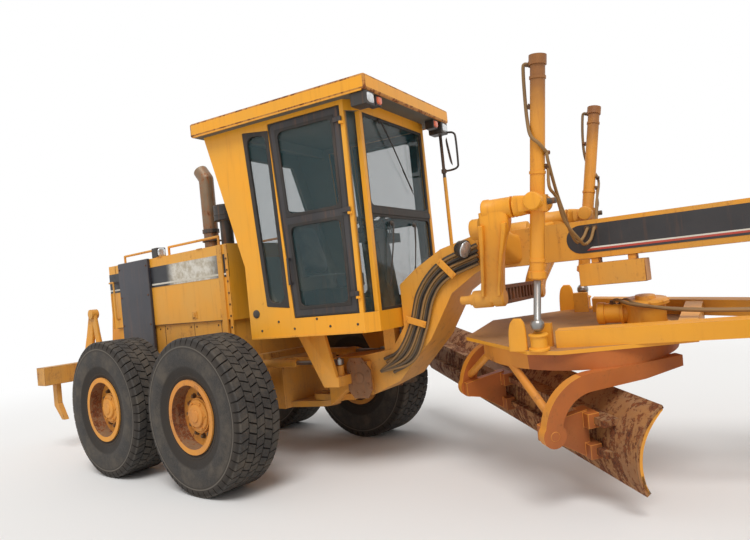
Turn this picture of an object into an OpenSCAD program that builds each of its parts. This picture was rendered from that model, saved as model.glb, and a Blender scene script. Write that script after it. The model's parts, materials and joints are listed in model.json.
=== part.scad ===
/* [Machine] */
// Distance from the tandem centre line forward to the hitch pin
rear_base = 1240; // [1150:1:1350]
// Place of the hitch pin along the machine, from the origin
hitch_x = -420; // [-470:1:-370]
// Distance from the origin forward to the front axle
front_base = 4800; // [4700:1:4850]
// Angle that the rear frame stands turned by, as the machine is parked
artic_park = 10; // [0:0.5:12]
// Distance between the middles of the left and right tyres
track = 2310; // [2250:1:2360]
/* [Wheels] */
// Radius of a tyre out to the tips of its lugs
tyre_r = 738; // [720:1:745]
// Width of a tyre
tyre_w = 510; // [480:1:520]
// Radius of the rim where the tyre's bead sits
bead_r = 318; // [300:1:330]
// Height of a rim's flange above its bead seat
flange_h = 30; // [20:1:40]
// Distance between the front and back wheel of a tandem
tandem_pitch = 1656; // [1620:1:1700]
// Radius of the spindles that the wheels turn on
spindle_r = 60; // [45:1:70]
// Radial running clearance of a shaft in its bore
run_fit = 0.05; // [0.02:0.01:0.1]
// Thickness of a wheel's disc
disc_t = 30; // [20:1:40]
// How far a wheel's disc sits out from the middle of the tyre
disc_out = 60; // [30:1:90]
/* [Rear frame] */
// Half of the distance between the outer faces of the rear frame's rails
rail_out = 400; // [360:1:440]
// Height of the rear rails' top face
rail_top = 1180; // [1120:1:1240]
// Height of a rear rail's section
rail_h = 320; // [260:1:380]
// Width of a rear rail's section
rail_w = 110; // [80:1:140]
// How far the rear rails reach behind the tandem centre
rail_back = 1960; // [1850:1:2050]
// How far the rear rails stop short of the hitch pin
tongue = 480; // [460:1:520]
// Thickness of a hitch plate
hitch_t = 60; // [45:1:80]
// Radius of the hitch plates' round noses
hitch_r = 140; // [120:1:160]
// Radius of the hitch pins
hitch_pin_r = 50; // [40:1:60]
// Underside of the hitch's lower fork plate
hitch_low = 600; // [560:1:640]
// Underside of the hitch's upper fork plate
hitch_high = 1060; // [1020:1:1100]
// Height of the ripper's brackets
bracket_top = 1830; // [1750:1:1900]
/* [Tandem cases] */
// Inner face of a tandem case
tandem_in = 650; // [620:1:680]
// Thickness of a tandem case
tandem_t = 190; // [160:1:210]
// Height of a tandem case at its middle
tandem_h = 520; // [460:1:560]
// Radius of a tandem case's round ends
tandem_end_r = 200; // [170:1:230]
// Radius of the axle tube between the tandem cases
axle_tube_r = 150; // [120:1:180]
/* [Hood] */
// Half of the hood's width
hood_half = 630; // [600:1:660]
// Thickness of the hood's panels
hood_t = 30; // [20:1:40]
// Height of the hood's top
hood_top = 2375; // [2330:1:2440]
// Height of the hood's lower edge
hood_low = 1575; // [1540:1:1620]
// How far the hood reaches behind the tandem centre
hood_back = 1870; // [1800:1:1950]
// How far the hood reaches ahead of the tandem centre
hood_front = 630; // [600:1:640]
// Top of the dark band along the hood
band_top = 2270; // [2230:1:2300]
// Bottom of the dark band along the hood
band_low = 2030; // [2000:1:2060]
// Front edge of the tall side cover, ahead of the tandem centre
cover_front = -880; // [-920:1:-840]
// Width of the tall side cover along the machine
cover_w = 690; // [640:1:740]
// How far the side cover stands out of the hood
cover_t = 40; // [20:1:60]
// Bottom of the side cover
cover_low = 1200; // [1160:1:1260]
// Height of the engine block's top
engine_top = 2150; // [2050:1:2250]
// Length of the engine block
engine_l = 1220; // [1100:1:1300]
/* [Stacks] */
// Radius of the exhaust stack
stack_r = 82; // [65:1:95]
// Height of the exhaust stack's top
stack_top = 3290; // [3200:1:3380]
// How far the stack stands to the right of the middle
stack_side = 370; // [320:1:400]
// Place of the stack ahead of the tandem centre
stack_x = 20; // [-20:1:60]
// Radius of the air cleaner's head
cleaner_r = 125; // [100:1:150]
/* [Front frame] */
// Top of the straight beam
beam_top = 2125; // [2090:1:2160]
// Depth of the straight beam
beam_h = 310; // [280:1:340]
// Half of the beam's width
beam_half = 160; // [140:1:180]
// Where the gooseneck becomes the straight beam, ahead of the hitch
beam_start = 1450; // [1400:1:1500]
// How far the nose reaches ahead of the front axle
nose_out = 560; // [500:1:620]
/* [Cab] */
// Height of the cab's floor
floor_z = 1500; // [1470:1:1530]
// Bottom of the cab's skirt
skirt_z = 1375; // [1340:1:1400]
// Half of the cab's width
cab_half = 770; // [740:1:800]
// Inside face of the windshield, ahead of the hitch
cab_front = 690; // [660:1:720]
// How far the cab's rear wall stands behind the hitch at the floor
cab_back = 690; // [660:1:720]
// How far the cab's rear wall leans back at the roof
cab_lean = 380; // [340:1:420]
// Height at which the rear wall starts to lean
lean_z = 2080; // [2040:1:2120]
// Thickness of the cab's walls
wall_t = 45; // [35:1:60]
// Underside of the roof
roof_z = 3430; // [3390:1:3460]
// Thickness of the roof
roof_t = 140; // [120:1:160]
// How far the roof reaches ahead of the windshield
roof_out = 210; // [180:1:280]
// Half of the roof's width
roof_half = 875; // [850:1:900]
// Thickness of the window panes
pane_t = 8; // [6:1:12]
/* [Front axle] */
// Height of the front axle's beam
axle_h = 170; // [140:1:200]
// Half of the front axle's length, out to the lean pivots
lean_y = 770; // [740:1:800]
// Distance from the middle line to a kingpin
king_y = 930; // [910:1:950]
// Radius of a kingpin
king_r = 35; // [28:1:42]
/* [Drawbar] */
// How far the drawbar's ball stands ahead of the front axle
ball_ahead = 220; // [180:1:260]
// Height of the drawbar's ball
ball_z = 1050; // [1010:1:1090]
// Radius of the drawbar's ball
ball_r = 85; // [75:1:95]
// Roll of the drawbar as parked, its left side up
park_roll = 6.5; // [0:0.5:8]
// Pitch of the drawbar as parked, its rear end up
park_pitch = 2.5; // [0:0.5:4]
// Top of the drawbar's plate, before it is tilted
plate_top = 1134; // [1110:1:1160]
// Thickness of the drawbar's plate
plate_t = 30; // [20:1:40]
/* [Circle] */
// Distance from the hitch pin forward to the circle's centre
circle_x = 2200; // [2150:1:2250]
// Outer radius of the circle
circle_r = 780; // [740:1:800]
// Width of the circle's ring
circle_w = 140; // [110:1:170]
// Height of the circle's ring
circle_h = 130; // [100:1:150]
// Angle that the circle stands turned by, as parked
circle_park = 44.5; // [30:0.5:50]
// Half of the distance between the circle's arms
arm_y = 750; // [720:1:780]
/* [Blade] */
// Length of the moldboard
blade_l = 4270; // [4100:1:4400]
// Height of the moldboard along its chord
blade_h = 600; // [560:1:640]
// Radius of the moldboard's curve
blade_r = 413; // [400:1:450]
// Thickness of the moldboard
blade_t = 25; // [20:1:32]
// How far the blade stands shifted to the left, as parked
blade_shift = 1000; // [900:1:1040]
// Height of the blade's bottom edge before the drawbar is tilted
blade_low = 180; // [160:1:220]
/* [Lift cylinders] */
// Distance from the middle line to a lift cylinder's pivot
lift_y = 860; // [830:1:890]
// Place of the lift cylinders' pivots ahead of the hitch pin
lift_x = 2230; // [2200:1:2260]
// Height of the lift cylinders' pivots
lift_z = 2250; // [2210:1:2290]
// Outside radius of a lift cylinder
barrel_r = 54; // [46:1:60]
// Radius of a lift cylinder's rod
rod_r = 27; // [22:1:32]
/* [Hidden] */
$fn = 48;
// Right is the side towards -Y, left the side towards +Y
RIGHT = -1;
LEFT = 1;
// A little more than the thickness that a cut goes through
over = 2;
// Gap between pieces that touch on the real machine but belong to different bodies
seat_gap = 0.3;
// Gap between pieces that move past each other
pass_gap = 6;

// Box between two corners
module box(a, b) {
  translate([min(a[0], b[0]), min(a[1], b[1]), min(a[2], b[2])])
    cube([abs(b[0] - a[0]), abs(b[1] - a[1]), abs(b[2] - a[2])]);
}
// Outline in x and z, drawn out from y0 to y1
module side_plate(outline, y0, y1) {
  translate([0, max(y0, y1), 0]) rotate([90, 0, 0])
    linear_extrude(abs(y1 - y0)) polygon(outline);
}
// Round bar from one point to another
module bar(a, b, r) {
  d = b - a;
  translate(a) rotate([0, acos(d[2] / norm(d)), atan2(d[1], d[0])])
    cylinder(h = norm(d), r = r);
}
// Tube along a path of points, with a ball at each bend
module pipe(path, r) {
  for (k = [0:len(path) - 2]) bar(path[k], path[k + 1], r);
  for (k = [1:len(path) - 2]) translate(path[k]) sphere(r = r, $fn = 24);
}
// Everything on the rear frame stands turned about the hitch pin
module on_rear() translate([hitch_x, 0, 0]) rotate([0, 0, -artic_park]) children();
// Both sides of the machine
module both_sides() {
  children();
  mirror([0, 1, 0]) children();
}
// The side that a name stands for
module on_side(side) {
  if (side == RIGHT) children();
  else mirror([0, 1, 0]) children();
}

wheel_y = track / 2;
flange_r = bead_r + flange_h;
mid_x = -rear_base + tandem_pitch / 2;
back_x = -rear_base - tandem_pitch / 2;

// A tyre about the y axis
module tyre() {
  shoulder = tyre_r - 36;
  color("dimgray") rotate([90, 0, 0]) rotate_extrude()
    polygon([
      [bead_r + run_fit, -tyre_w * 0.40], [flange_r + 8, -tyre_w * 0.41],
      [tyre_r - 200, -tyre_w / 2], [shoulder - 30, -tyre_w * 0.48],
      [tyre_r, -tyre_w * 0.42], [tyre_r, tyre_w * 0.42],
      [shoulder - 30, tyre_w * 0.48], [tyre_r - 200, tyre_w / 2],
      [flange_r + 8, tyre_w * 0.41], [bead_r + run_fit, tyre_w * 0.40]
    ]);
}
// A rim about the y axis, its dish open towards out = +1 or -1 along y
module rim(out) {
  lip = tyre_w * 0.40 - 1;
  barrel_in = bead_r - 22;
  hub_r = 165;
  bolts = 12;
  color("goldenrod") rotate([out * -90, 0, 0]) difference() {
    union() {
      rotate_extrude() polygon([
        [barrel_in, -lip - 26], [flange_r, -lip - 26], [flange_r, -lip - 8],
        [bead_r, -lip - 8], [bead_r, lip + 8], [flange_r, lip + 8],
        [flange_r, lip + 26], [barrel_in, lip + 26]
      ]);
      translate([0, 0, disc_out]) cylinder(h = disc_t, r = bead_r - 10);
      translate([0, 0, disc_out - 60]) cylinder(h = 60 + disc_t + 46, r = hub_r);
      for (k = [0:bolts - 1]) rotate([0, 0, k * 360 / bolts])
        translate([hub_r + 34, 0, disc_out + disc_t - over])
          cylinder(h = 26 + over, r = 16, $fn = 6);
    }
    translate([0, 0, disc_out - 60 - over])
      cylinder(h = 60 + disc_t + over, r = spindle_r + run_fit);
  }
}
module place_wheel(x, side) translate([x, side * wheel_y, tyre_r]) children();
// Stub that a wheel turns on, from an inner face out to the wheel's hub
module spindle(x, side, from_y) {
  to_y = wheel_y + disc_out + disc_t - 4;
  bar([x, side * from_y, tyre_r], [x, side * to_y, tyre_r], spindle_r);
}

rail_in = rail_out - rail_w;
rail_low = rail_top - rail_h;
// Places on the rear frame are measured from the hitch pin
artic_z = 1090;
artic_pin_r = 20;
artic_eye_r = 44;
artic_rear = [-600, -480];
artic_front = [60, -420];
// Rear frame with its rails, bumper, cross members and hitch fork
module rear_frame() on_rear() color("goldenrod") {
  difference() {
    union() {
      both_sides() box([-rear_base - rail_back, -rail_out, rail_low],
        [-tongue, -rail_in, rail_top]);
      for (x = [-rear_base - rail_back, -rear_base - 300, -tongue - 160])
        box([x, -rail_out, rail_low], [x + 160, rail_out, rail_top]);
      box([ripper_x, -860, bumper_low], [-rear_base - rail_back + over, 860, bumper_top]);
      fork_plate(hitch_low);
      fork_plate(hitch_high);
      box([-tongue - over, -rail_in - 30, hitch_low],
        [-tongue + 180, rail_in + 30, hitch_high + hitch_t]);
      // Saddle that carries the axle tube
      box([-rear_base - 190, -rail_out, tyre_r - 60],
        [-rear_base + 190, rail_out, rail_low + over]);
      // Ears with the pins that the articulation barrels turn on
      both_sides() {
        box([artic_rear[0] - 45, -rail_out - over + 4, artic_z - 120],
          [artic_rear[0] + 45, artic_rear[1] - 45, artic_z - 55]);
        translate([artic_rear[0], artic_rear[1], artic_z - 60])
          cylinder(h = 105, r = artic_pin_r);
      }
    }
    bar([-rear_base, -tandem_in, tyre_r], [-rear_base, tandem_in, tyre_r],
      axle_tube_r);
  }
  // Hitch pins, held by the fork's plates
  translate([0, 0, hitch_low]) cylinder(h = hitch_t * 2 + 20, r = hitch_pin_r);
  translate([0, 0, hitch_high - hitch_t - 20])
    cylinder(h = hitch_t * 2 + 40, r = hitch_pin_r);
  // Box below the hood that holds the tank and steps
  difference() {
    box([-rear_base - 1780, -hood_half + 20, rail_top - over],
      [-rear_base + 600, hood_half - 20, hood_low]);
    box([-rear_base - 850, -hood_half + 70, rail_top - 2 * over],
      [-rear_base + 560, hood_half - 70, hood_low + over]);
  }
}
// Fork plate of the hitch at a height
module fork_plate(z) translate([0, 0, z]) linear_extrude(hitch_t)
  union() {
    circle(r = hitch_r);
    polygon([[0, -hitch_r], [-tongue, -rail_in], [-tongue, rail_in], [0, hitch_r]]);
  }
// Rear axle tube with the two tandem cases and their wheel spindles
module tandem_axle() on_rear() color("goldenrod") {
  bar([-rear_base, -tandem_in - over, tyre_r], [-rear_base, tandem_in + over, tyre_r],
    axle_tube_r - seat_gap);
  both_sides() {
    difference() {
      union() {
        side_plate([
          [back_x, tyre_r - tandem_end_r], [mid_x, tyre_r - tandem_end_r],
          [mid_x, tyre_r + tandem_end_r], [-rear_base + 260, tyre_r + tandem_h / 2],
          [-rear_base - 260, tyre_r + tandem_h / 2], [back_x, tyre_r + tandem_end_r]
        ], -tandem_in, -tandem_in - tandem_t);
        for (x = [mid_x, back_x])
          bar([x, -tandem_in, tyre_r], [x, -tandem_in - tandem_t, tyre_r], tandem_end_r);
      }
    }
    for (x = [mid_x, back_x]) spindle(x, RIGHT, tandem_in + tandem_t - over);
  }
}
engine_front = -rear_base + 420;
module engine() on_rear() color("dimgray")
  box([engine_front - engine_l, -rail_in - 40, rail_top], [engine_front, rail_in + 40, engine_top]);
// Hood shell, open below, with the radiator grille in its rear wall
module hood() on_rear() color("goldenrod") {
  back = -rear_base - hood_back;
  grille_y = 480;
  grille_z = [1660, 2290];
  slat = 14;
  difference() {
    box([back, -hood_half, hood_low], [-rear_base + hood_front, hood_half, hood_top]);
    box([back + 90, -hood_half + hood_t, hood_low - over],
      [-rear_base + hood_front - hood_t, hood_half - hood_t, hood_top - hood_t]);
    box([back - over, -grille_y, grille_z[0]], [back + 50, grille_y, grille_z[1]]);
    translate([-rear_base + stack_x, -stack_side, hood_top - hood_t - over])
      cylinder(h = hood_t + 2 * over, r = stack_r + 20);
  }
  for (z = [grille_z[0] + 40:70:grille_z[1] - 40])
    box([back + 10, -grille_y - over, z], [back + 40, grille_y + over, z + slat]);
}
// Dark band along each side of the hood
module hood_bands() on_rear() color("black") both_sides() {
  box([-rear_base + cover_front, -hood_half, band_low],
    [-rear_base + hood_front, -hood_half - 4, band_top]);
  box([-rear_base - hood_back, -hood_half, band_low],
    [-rear_base + cover_front - cover_w, -hood_half - 4, band_top]);
}
module side_covers() on_rear() color("midnightblue") both_sides()
  box([-rear_base + cover_front - cover_w, -hood_half, cover_low],
    [-rear_base + cover_front, -hood_half - cover_t, hood_top + 6]);
// Rails on the hood's top
module handrails() on_rear() color("goldenrod") both_sides() {
  rail_r = 14;
  rail_up = 110;
  y = -hood_half + 120;
  for (span = [[-1660, -960], [-640, 330]]) pipe([
    [-rear_base + span[0], y, hood_top], [-rear_base + span[0], y, hood_top + rail_up],
    [-rear_base + span[1], y, hood_top + rail_up], [-rear_base + span[1], y, hood_top]
  ], rail_r);
}
// Exhaust stack up from the engine and, ahead of it, the air cleaner's head
module stacks() on_rear() {
  x = -rear_base + stack_x;
  bend = stack_top - 110;
  color("tan") {
    translate([x, -stack_side + 60, engine_top]) cylinder(h = 120, r = stack_r);
    translate([x, -stack_side, engine_top + 110])
      cylinder(h = bend - engine_top - 110, r = stack_r);
    bar([x, -stack_side, bend], [x - 90, -stack_side, stack_top], stack_r);
    translate([x, -stack_side, bend]) sphere(r = stack_r);
  }
  color("black") translate([x + 290, -stack_side, hood_top]) {
    cylinder(h = 300, r = 70);
    translate([0, 0, 290]) cylinder(h = 170, r = cleaner_r);
  }
}
module rear_lamps() on_rear() color("black") both_sides()
  box([-rear_base - 860, -hood_half + 20, hood_top],
    [-rear_base - 740, -hood_half + 140, hood_top + 120]);

// Angle and length of an articulation cylinder, from its rear pin to its front pin,
// both as seen from above by the rear frame; side is RIGHT or LEFT
function turned(p, a) = [p[0] * cos(a) - p[1] * sin(a), p[0] * sin(a) + p[1] * cos(a)];
function artic_from(side) = [artic_rear[0], -side * artic_rear[1]];
function artic_to(side) = turned([artic_front[0] - hitch_x, -side * artic_front[1]], artic_park);
function artic_way(side) = (artic_to(side) - artic_from(side))
  / norm(artic_to(side) - artic_from(side));
// Point on an articulation cylinder, so far ahead of its rear pin
function artic_pt(side, far) = [
  artic_from(side)[0] + far * artic_way(side)[0], artic_from(side)[1] + far * artic_way(side)[1],
  artic_z
];
artic_barrel_r = 42;
artic_rod_r = 22;
artic_barrel_l = 640;
module artic_barrel(side) on_rear() color("goldenrod") difference() {
  union() {
    translate([artic_from(side)[0], artic_from(side)[1], artic_z - 25])
      cylinder(h = 50, r = artic_eye_r);
    bar(artic_pt(side, 30), artic_pt(side, artic_barrel_l), artic_barrel_r);
  }
  translate([artic_from(side)[0], artic_from(side)[1], artic_z - 45])
    cylinder(h = 90, r = artic_pin_r + run_fit);
  bar(artic_pt(side, 90), artic_pt(side, artic_barrel_l + over), artic_rod_r + run_fit);
}
module artic_rod(side) on_rear() color("silver") {
  far = norm(artic_to(side) - artic_from(side));
  bar(artic_pt(side, far - 760), artic_pt(side, far - 10), artic_rod_r);
  translate([artic_to(side)[0], artic_to(side)[1], artic_z - 25]) {
    cylinder(h = 50, r = artic_eye_r);
    cylinder(h = 62, r = artic_pin_r);
  }
}
module artic_barrel_right() artic_barrel(RIGHT);
module artic_barrel_left() artic_barrel(LEFT);
module artic_rod_right() artic_rod(RIGHT);
module artic_rod_left() artic_rod(LEFT);

bumper_low = 760;
bumper_top = 1240;
ripper_x = -rear_base - rail_back - 120;
ripper_pin = [ripper_x - 190, 0, 900];
// Brackets on the rear bumper that carry the ripper
module ripper_frame() on_rear() color("goldenrod") {
  both_sides() {
    side_plate([[ripper_x, bumper_low + 20], [ripper_x, bumper_top], [ripper_x - 130, bumper_top],
      [ripper_x - 260, 960], [ripper_x - 260, 840], [ripper_x - 130, bumper_low + 20]],
      -430, -470);
    side_plate([[ripper_x, bumper_top - 140], [ripper_x, bumper_top],
      [ripper_x - 160, bracket_top], [ripper_x - 260, bracket_top],
      [ripper_x - 360, bumper_top], [ripper_x - 300, bumper_top - 140]], -330, -390);
  }
  box([ripper_x - 250, -330, bracket_top - 190], [ripper_x - 170, 330, bracket_top - 70]);
  bar([ripper_pin[0], -470, ripper_pin[2]], [ripper_pin[0], 470, ripper_pin[2]], 32);
}
// Ripper: arms, cross beam and shanks
module ripper() on_rear() color("goldenrod") {
  beam_x = ripper_x - 900;
  difference() {
    union() {
      both_sides() bar([ripper_pin[0], -400, ripper_pin[2]],
        [ripper_pin[0], -320, ripper_pin[2]], 85);
      both_sides() box([beam_x, -390, 840], [ripper_pin[0], -330, 960]);
      box([beam_x - 200, -1100, 900], [beam_x + 40, 1100, 1140]);
      for (y = [-900, -450, 0, 450, 900])
        side_plate([[beam_x - 140, 1140], [beam_x - 20, 1140], [beam_x - 20, 640],
          [beam_x + 140, 420], [beam_x + 60, 420], [beam_x - 140, 600]], y - 32, y + 32);
    }
    bar([ripper_pin[0], -500, ripper_pin[2]], [ripper_pin[0], 500, ripper_pin[2]],
      32 + run_fit);
  }
}

// Front frame: hitch lugs, belly, gooseneck, straight beam and nose
beam_low = beam_top - beam_h;
nose_x = front_base + nose_out;
ball = [front_base + ball_ahead, 0, ball_z];
ball_pin_r = 40;
axle_z = tyre_r;
floor_low = skirt_z + 58;
lug_low = hitch_low + hitch_t + pass_gap;
lug_high = hitch_high - hitch_t - pass_gap;
module hitch_lug(z) translate([hitch_x, 0, z]) difference() {
  linear_extrude(hitch_t) union() {
    circle(r = hitch_r - 10);
    translate([0, -hitch_r + 10]) square([-hitch_x, 2 * hitch_r - 20]);
  }
  translate([0, 0, -over])
    cylinder(h = hitch_t + 2 * over, r = hitch_pin_r + run_fit);
}
neck_half = beam_half + 90;
neck_end = beam_start + 60;
cheek_y = 280;
module front_frame() color("goldenrod") {
  neck = [
    [-200, 640], [0, 790], [300, 740], [610, 870], [970, 1240], [1220, 1640],
    [beam_start, beam_low - 30], [neck_end, beam_low], [neck_end, beam_top],
    [beam_start, beam_top - 10], [1150, 2040], [880, 1890], [705, 1760],
    [705, 1370], [560, 1170], [230, 1120], [-200, 1100]
  ];
  hitch_lug(lug_low);
  hitch_lug(lug_high);
  side_plate(neck, -neck_half, neck_half);
  box([beam_start + 40, -beam_half, beam_low], [front_base - 120, beam_half, beam_top]);
  // Covers on the belly's sides, posts under the cab's front, struts under its rear
  both_sides() {
    side_plate([[130, 800], [310, 780], [310, 1070], [130, 1070]], -neck_half, -330);
    side_plate([[90, 800], [150, 725], [300, 725], [350, 810], [350, 990], [260, 1110],
      [130, 1110], [90, 1050]], -330, -348);
    box([470, -240, 1140], [590, -130, floor_low]);
    box([-40, -565, 870], [130, -neck_half + over, 960]);
    side_plate([[-320, floor_low], [0, floor_low], [130, 870], [-40, 870]], -565, -525);
    // Seat of the articulation rod's eye
    translate([artic_front[0], artic_front[1], 950])
      cylinder(h = artic_z - 35 - 950, r = artic_eye_r - 6);
  }
  box([-320, -566, floor_low - 60], [-220, 566, floor_low]);
  // Nose: from the beam's end down to the drawbar's pin and the push plate
  side_plate([
    [front_base - 260, beam_top], [front_base, beam_top], [front_base + 140, beam_top - 40],
    [nose_x - 60, beam_top - 240], [nose_x, 1300], [nose_x, 820], [nose_x - 90, 820],
    [ball[0] + 150, 880], [ball[0] + 150, ball_z + 260],
    [front_base + 60, ball_z + 280], [front_base - 260, beam_low]
  ], -200, 200);
  // Cheeks down to the axle, one on each side of the drawbar
  box([front_base - 120, -cheek_y - 80, ball_z + 300],
    [front_base + 120, cheek_y + 80, ball_z + 440]);
  both_sides() box([front_base - 120, -cheek_y - 80, axle_z + axle_h / 2],
    [front_base + 120, -cheek_y, ball_z + 301]);
  // Pin that the drawbar's ball sits on, held above and below
  translate([ball[0], 0, ball_z - 150]) cylinder(h = 430, r = ball_pin_r);
  box([ball[0] - 70, -90, ball_z - 175], [ball[0] + 151, 90, ball_z - 135]);
  // Push plate
  box([nose_x, -420, 760], [nose_x + 60, 420, 1240]);
}
// Headlamps on a cross bar over the nose
module headlamps() color("black") {
  lamp_x = front_base - 40;
  for (y = [-60, 60])
    box([lamp_x - 20, y - 12, beam_top], [lamp_x + 20, y + 12, beam_top + 90]);
  bar([lamp_x, -420, beam_top + 90], [lamp_x, 420, beam_top + 90], 18);
  both_sides() {
    bar([lamp_x - 45, -380, beam_top + 170], [lamp_x + 55, -380, beam_top + 170], 82);
    box([lamp_x - 15, -395, beam_top + 80], [lamp_x + 15, -365, beam_top + 170]);
  }
}

// Floor plan of the cab, its front corners cut off, drawn in by a wall's depth
corner_x = cab_front - 90;
glass_y = 650;
module cab_plan(inset) polygon([
  [-cab_back + inset, -cab_half + inset], [corner_x, -cab_half + inset],
  [cab_front - inset, -glass_y + inset], [cab_front - inset, glass_y - inset],
  [corner_x, cab_half - inset], [-cab_back + inset, cab_half - inset]
]);
cab_side = [
  [-cab_back, floor_z - 40], [corner_x, floor_z - 40], [corner_x, roof_z],
  [-cab_back - cab_lean, roof_z], [-cab_back, lean_z]
];
sill_z = floor_z + 50;
head_z = roof_z - 40;
bar_z = floor_z + 946;
// x of a line that leans back with height, at z
function door_rear(z) = -150 - (z - sill_z) * 105 / 1850;
function quarter_rear(z) = -460 - (z - 1680) * 110 / 1690;
door_edge_x = corner_x - 40;
function door_outline(inset, z0, z1) = [
  [door_rear(z0) + inset, z0], [door_edge_x - inset, z0],
  [door_edge_x - inset, z1], [door_rear(z1) + inset, z1]
];
quarter = [
  [quarter_rear(floor_z + 180), floor_z + 180], [door_rear(floor_z + 150) - 40, floor_z + 150],
  [door_rear(roof_z - 100) - 40, roof_z - 100], [quarter_rear(roof_z - 60), roof_z - 60]
];
post_w = 46;
// Hinge line of the doors, just outside the wall
hinge_x = door_edge_x + 6;
hinge_y = -cab_half - 16;
hinge_z = [sill_z + 150, bar_z - 6, head_z - 150];
hinge_r = 15;
hinge_pin_r = 8;
hinge_h = 44;
rear_glass_z = [lean_z + 100, roof_z - 170];
rear_glass_y = 560;
module front_post(side) side_post_at([cab_front - post_w, side * (glass_y - post_w / 2)]);
module side_post_at(p) translate([p[0], p[1] - post_w / 2, sill_z - 20])
  cube([post_w, post_w, roof_z - sill_z + 20]);
// Cab shell: floor, skirt, walls with their windows cut, posts and header
module cab_shell() color("goldenrod") {
  difference() {
    union() {
      translate([0, 0, skirt_z]) linear_extrude(floor_z - skirt_z) cab_plan(0);
      translate([0, 0, floor_z - 1]) linear_extrude(sill_z - floor_z + 1)
        difference() { cab_plan(0); cab_plan(wall_t); }
      translate([0, 0, head_z - 60]) linear_extrude(roof_z - head_z + 60)
        difference() { cab_plan(0); cab_plan(wall_t); }
      both_sides() side_plate(cab_side, -cab_half, -cab_half + wall_t);
      // Rear wall, upright below and leaning back above
      side_plate([
        [-cab_back, floor_z - 40], [-cab_back + wall_t, floor_z - 40],
        [-cab_back + wall_t, lean_z], [-cab_back - cab_lean + wall_t, roof_z],
        [-cab_back - cab_lean, roof_z], [-cab_back, lean_z]
      ], -cab_half + 1, cab_half - 1);
      both_sides() front_post(RIGHT);
      // Hinge lugs and pins of the doors
      both_sides() for (z = hinge_z) {
        box([hinge_x - 6, hinge_y, z - 22], [hinge_x + 28, -cab_half + over, z]);
        translate([hinge_x, hinge_y, z - 22]) cylinder(h = 22, r = hinge_r);
        translate([hinge_x, hinge_y, z - 10]) cylinder(h = 10 + hinge_h, r = hinge_pin_r);
      }
      // Bar across the windshield
      box([cab_front - post_w, -glass_y + post_w, bar_z - 25],
        [cab_front, glass_y - post_w, bar_z + 25]);
    }
    translate([0, 0, skirt_z - over]) linear_extrude(floor_low - skirt_z + over)
      cab_plan(wall_t);
    both_sides() {
      side_plate(door_outline(0, sill_z, head_z), -cab_half - over,
        -cab_half + wall_t + over);
      side_plate(quarter, -cab_half - over, -cab_half + wall_t + over);
    }
    box([-cab_back - cab_lean - 100, -rear_glass_y, rear_glass_z[0]],
      [-cab_back + wall_t + over, rear_glass_y, rear_glass_z[1]]);
  }
}
module cab_roof() color("goldenrod")
  box([-cab_back - cab_lean - 80, -roof_half, roof_z],
    [cab_front + roof_out, roof_half, roof_z + roof_t]);
// Every pane that doesn't open
module cab_glass() color("lightblue", 0.4) {
  x = cab_front - post_w / 2 - pane_t / 2;
  inner_y = glass_y - post_w;
  box([x, -inner_y, sill_z], [x + pane_t, inner_y, bar_z - 25]);
  box([x, -inner_y, bar_z + 25], [x + pane_t, inner_y, head_z - 60]);
  both_sides() {
    side_plate(quarter, -cab_half + 18, -cab_half + 18 + pane_t);
    // Narrow corner pane between the side wall and the front post
    translate([0, 0, sill_z]) linear_extrude(head_z - 60 - sill_z) polygon([
      [corner_x, -cab_half + 20], [cab_front - post_w, -glass_y + 20],
      [cab_front - post_w, -glass_y + 30], [corner_x, -cab_half + 30]
    ]);
  }
  // Rear window, leaning with the wall
  k = cab_lean / (roof_z - lean_z);
  x0 = -cab_back + 18 - (rear_glass_z[0] - lean_z) * k;
  x1 = -cab_back + 18 - (rear_glass_z[1] - lean_z) * k;
  side_plate([[x0, rear_glass_z[0]], [x0 + pane_t, rear_glass_z[0]],
    [x1 + pane_t, rear_glass_z[1]], [x1, rear_glass_z[1]]], -rear_glass_y, rear_glass_y);
}
door_gap = 5;
module door_panes() {
  for (span = [[sill_z + 80, bar_z - 30], [bar_z + 45, head_z - 75]])
    side_plate(door_outline(75, span[0], span[1]), -cab_half + 16, -cab_half + 16 + pane_t);
}
module door() color("dimgray") {
  difference() {
    side_plate(door_outline(door_gap, sill_z + door_gap, head_z - door_gap),
      -cab_half + 2, -cab_half + wall_t - 5);
    for (span = [[sill_z + 80, bar_z - 30], [bar_z + 45, head_z - 75]])
      side_plate(door_outline(75, span[0], span[1]), -cab_half - over, -cab_half + wall_t);
  }
  // Hinge leaves, each with a knuckle that turns on the shell's pin
  for (z = hinge_z) difference() {
    union() {
      translate([hinge_x, hinge_y, z + 1]) cylinder(h = hinge_h - 2, r = hinge_r);
      box([hinge_x - 72, hinge_y - 6, z + 1], [hinge_x, hinge_y + 8, z + hinge_h - 1]);
      box([hinge_x - 72, hinge_y, z + 1], [hinge_x - 22, -cab_half + 4, z + hinge_h - 1]);
    }
    translate([hinge_x, hinge_y, z]) cylinder(h = hinge_h, r = hinge_pin_r + run_fit);
  }
  // Pull handle
  grip_z = sill_z + 310;
  box([-150, -cab_half - 42, grip_z], [-128, -cab_half - 24, grip_z + 250]);
  for (z = [grip_z, grip_z + 224]) box([-150, -cab_half - 26, z], [-128, -cab_half + 4, z + 26]);
}
module door_right() on_side(RIGHT) door();
module door_left() on_side(LEFT) door();
module door_glass_right() color("lightblue", 0.4) on_side(RIGHT) door_panes();
module door_glass_left() color("lightblue", 0.4) on_side(LEFT) door_panes();
seat_x = -260;
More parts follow.
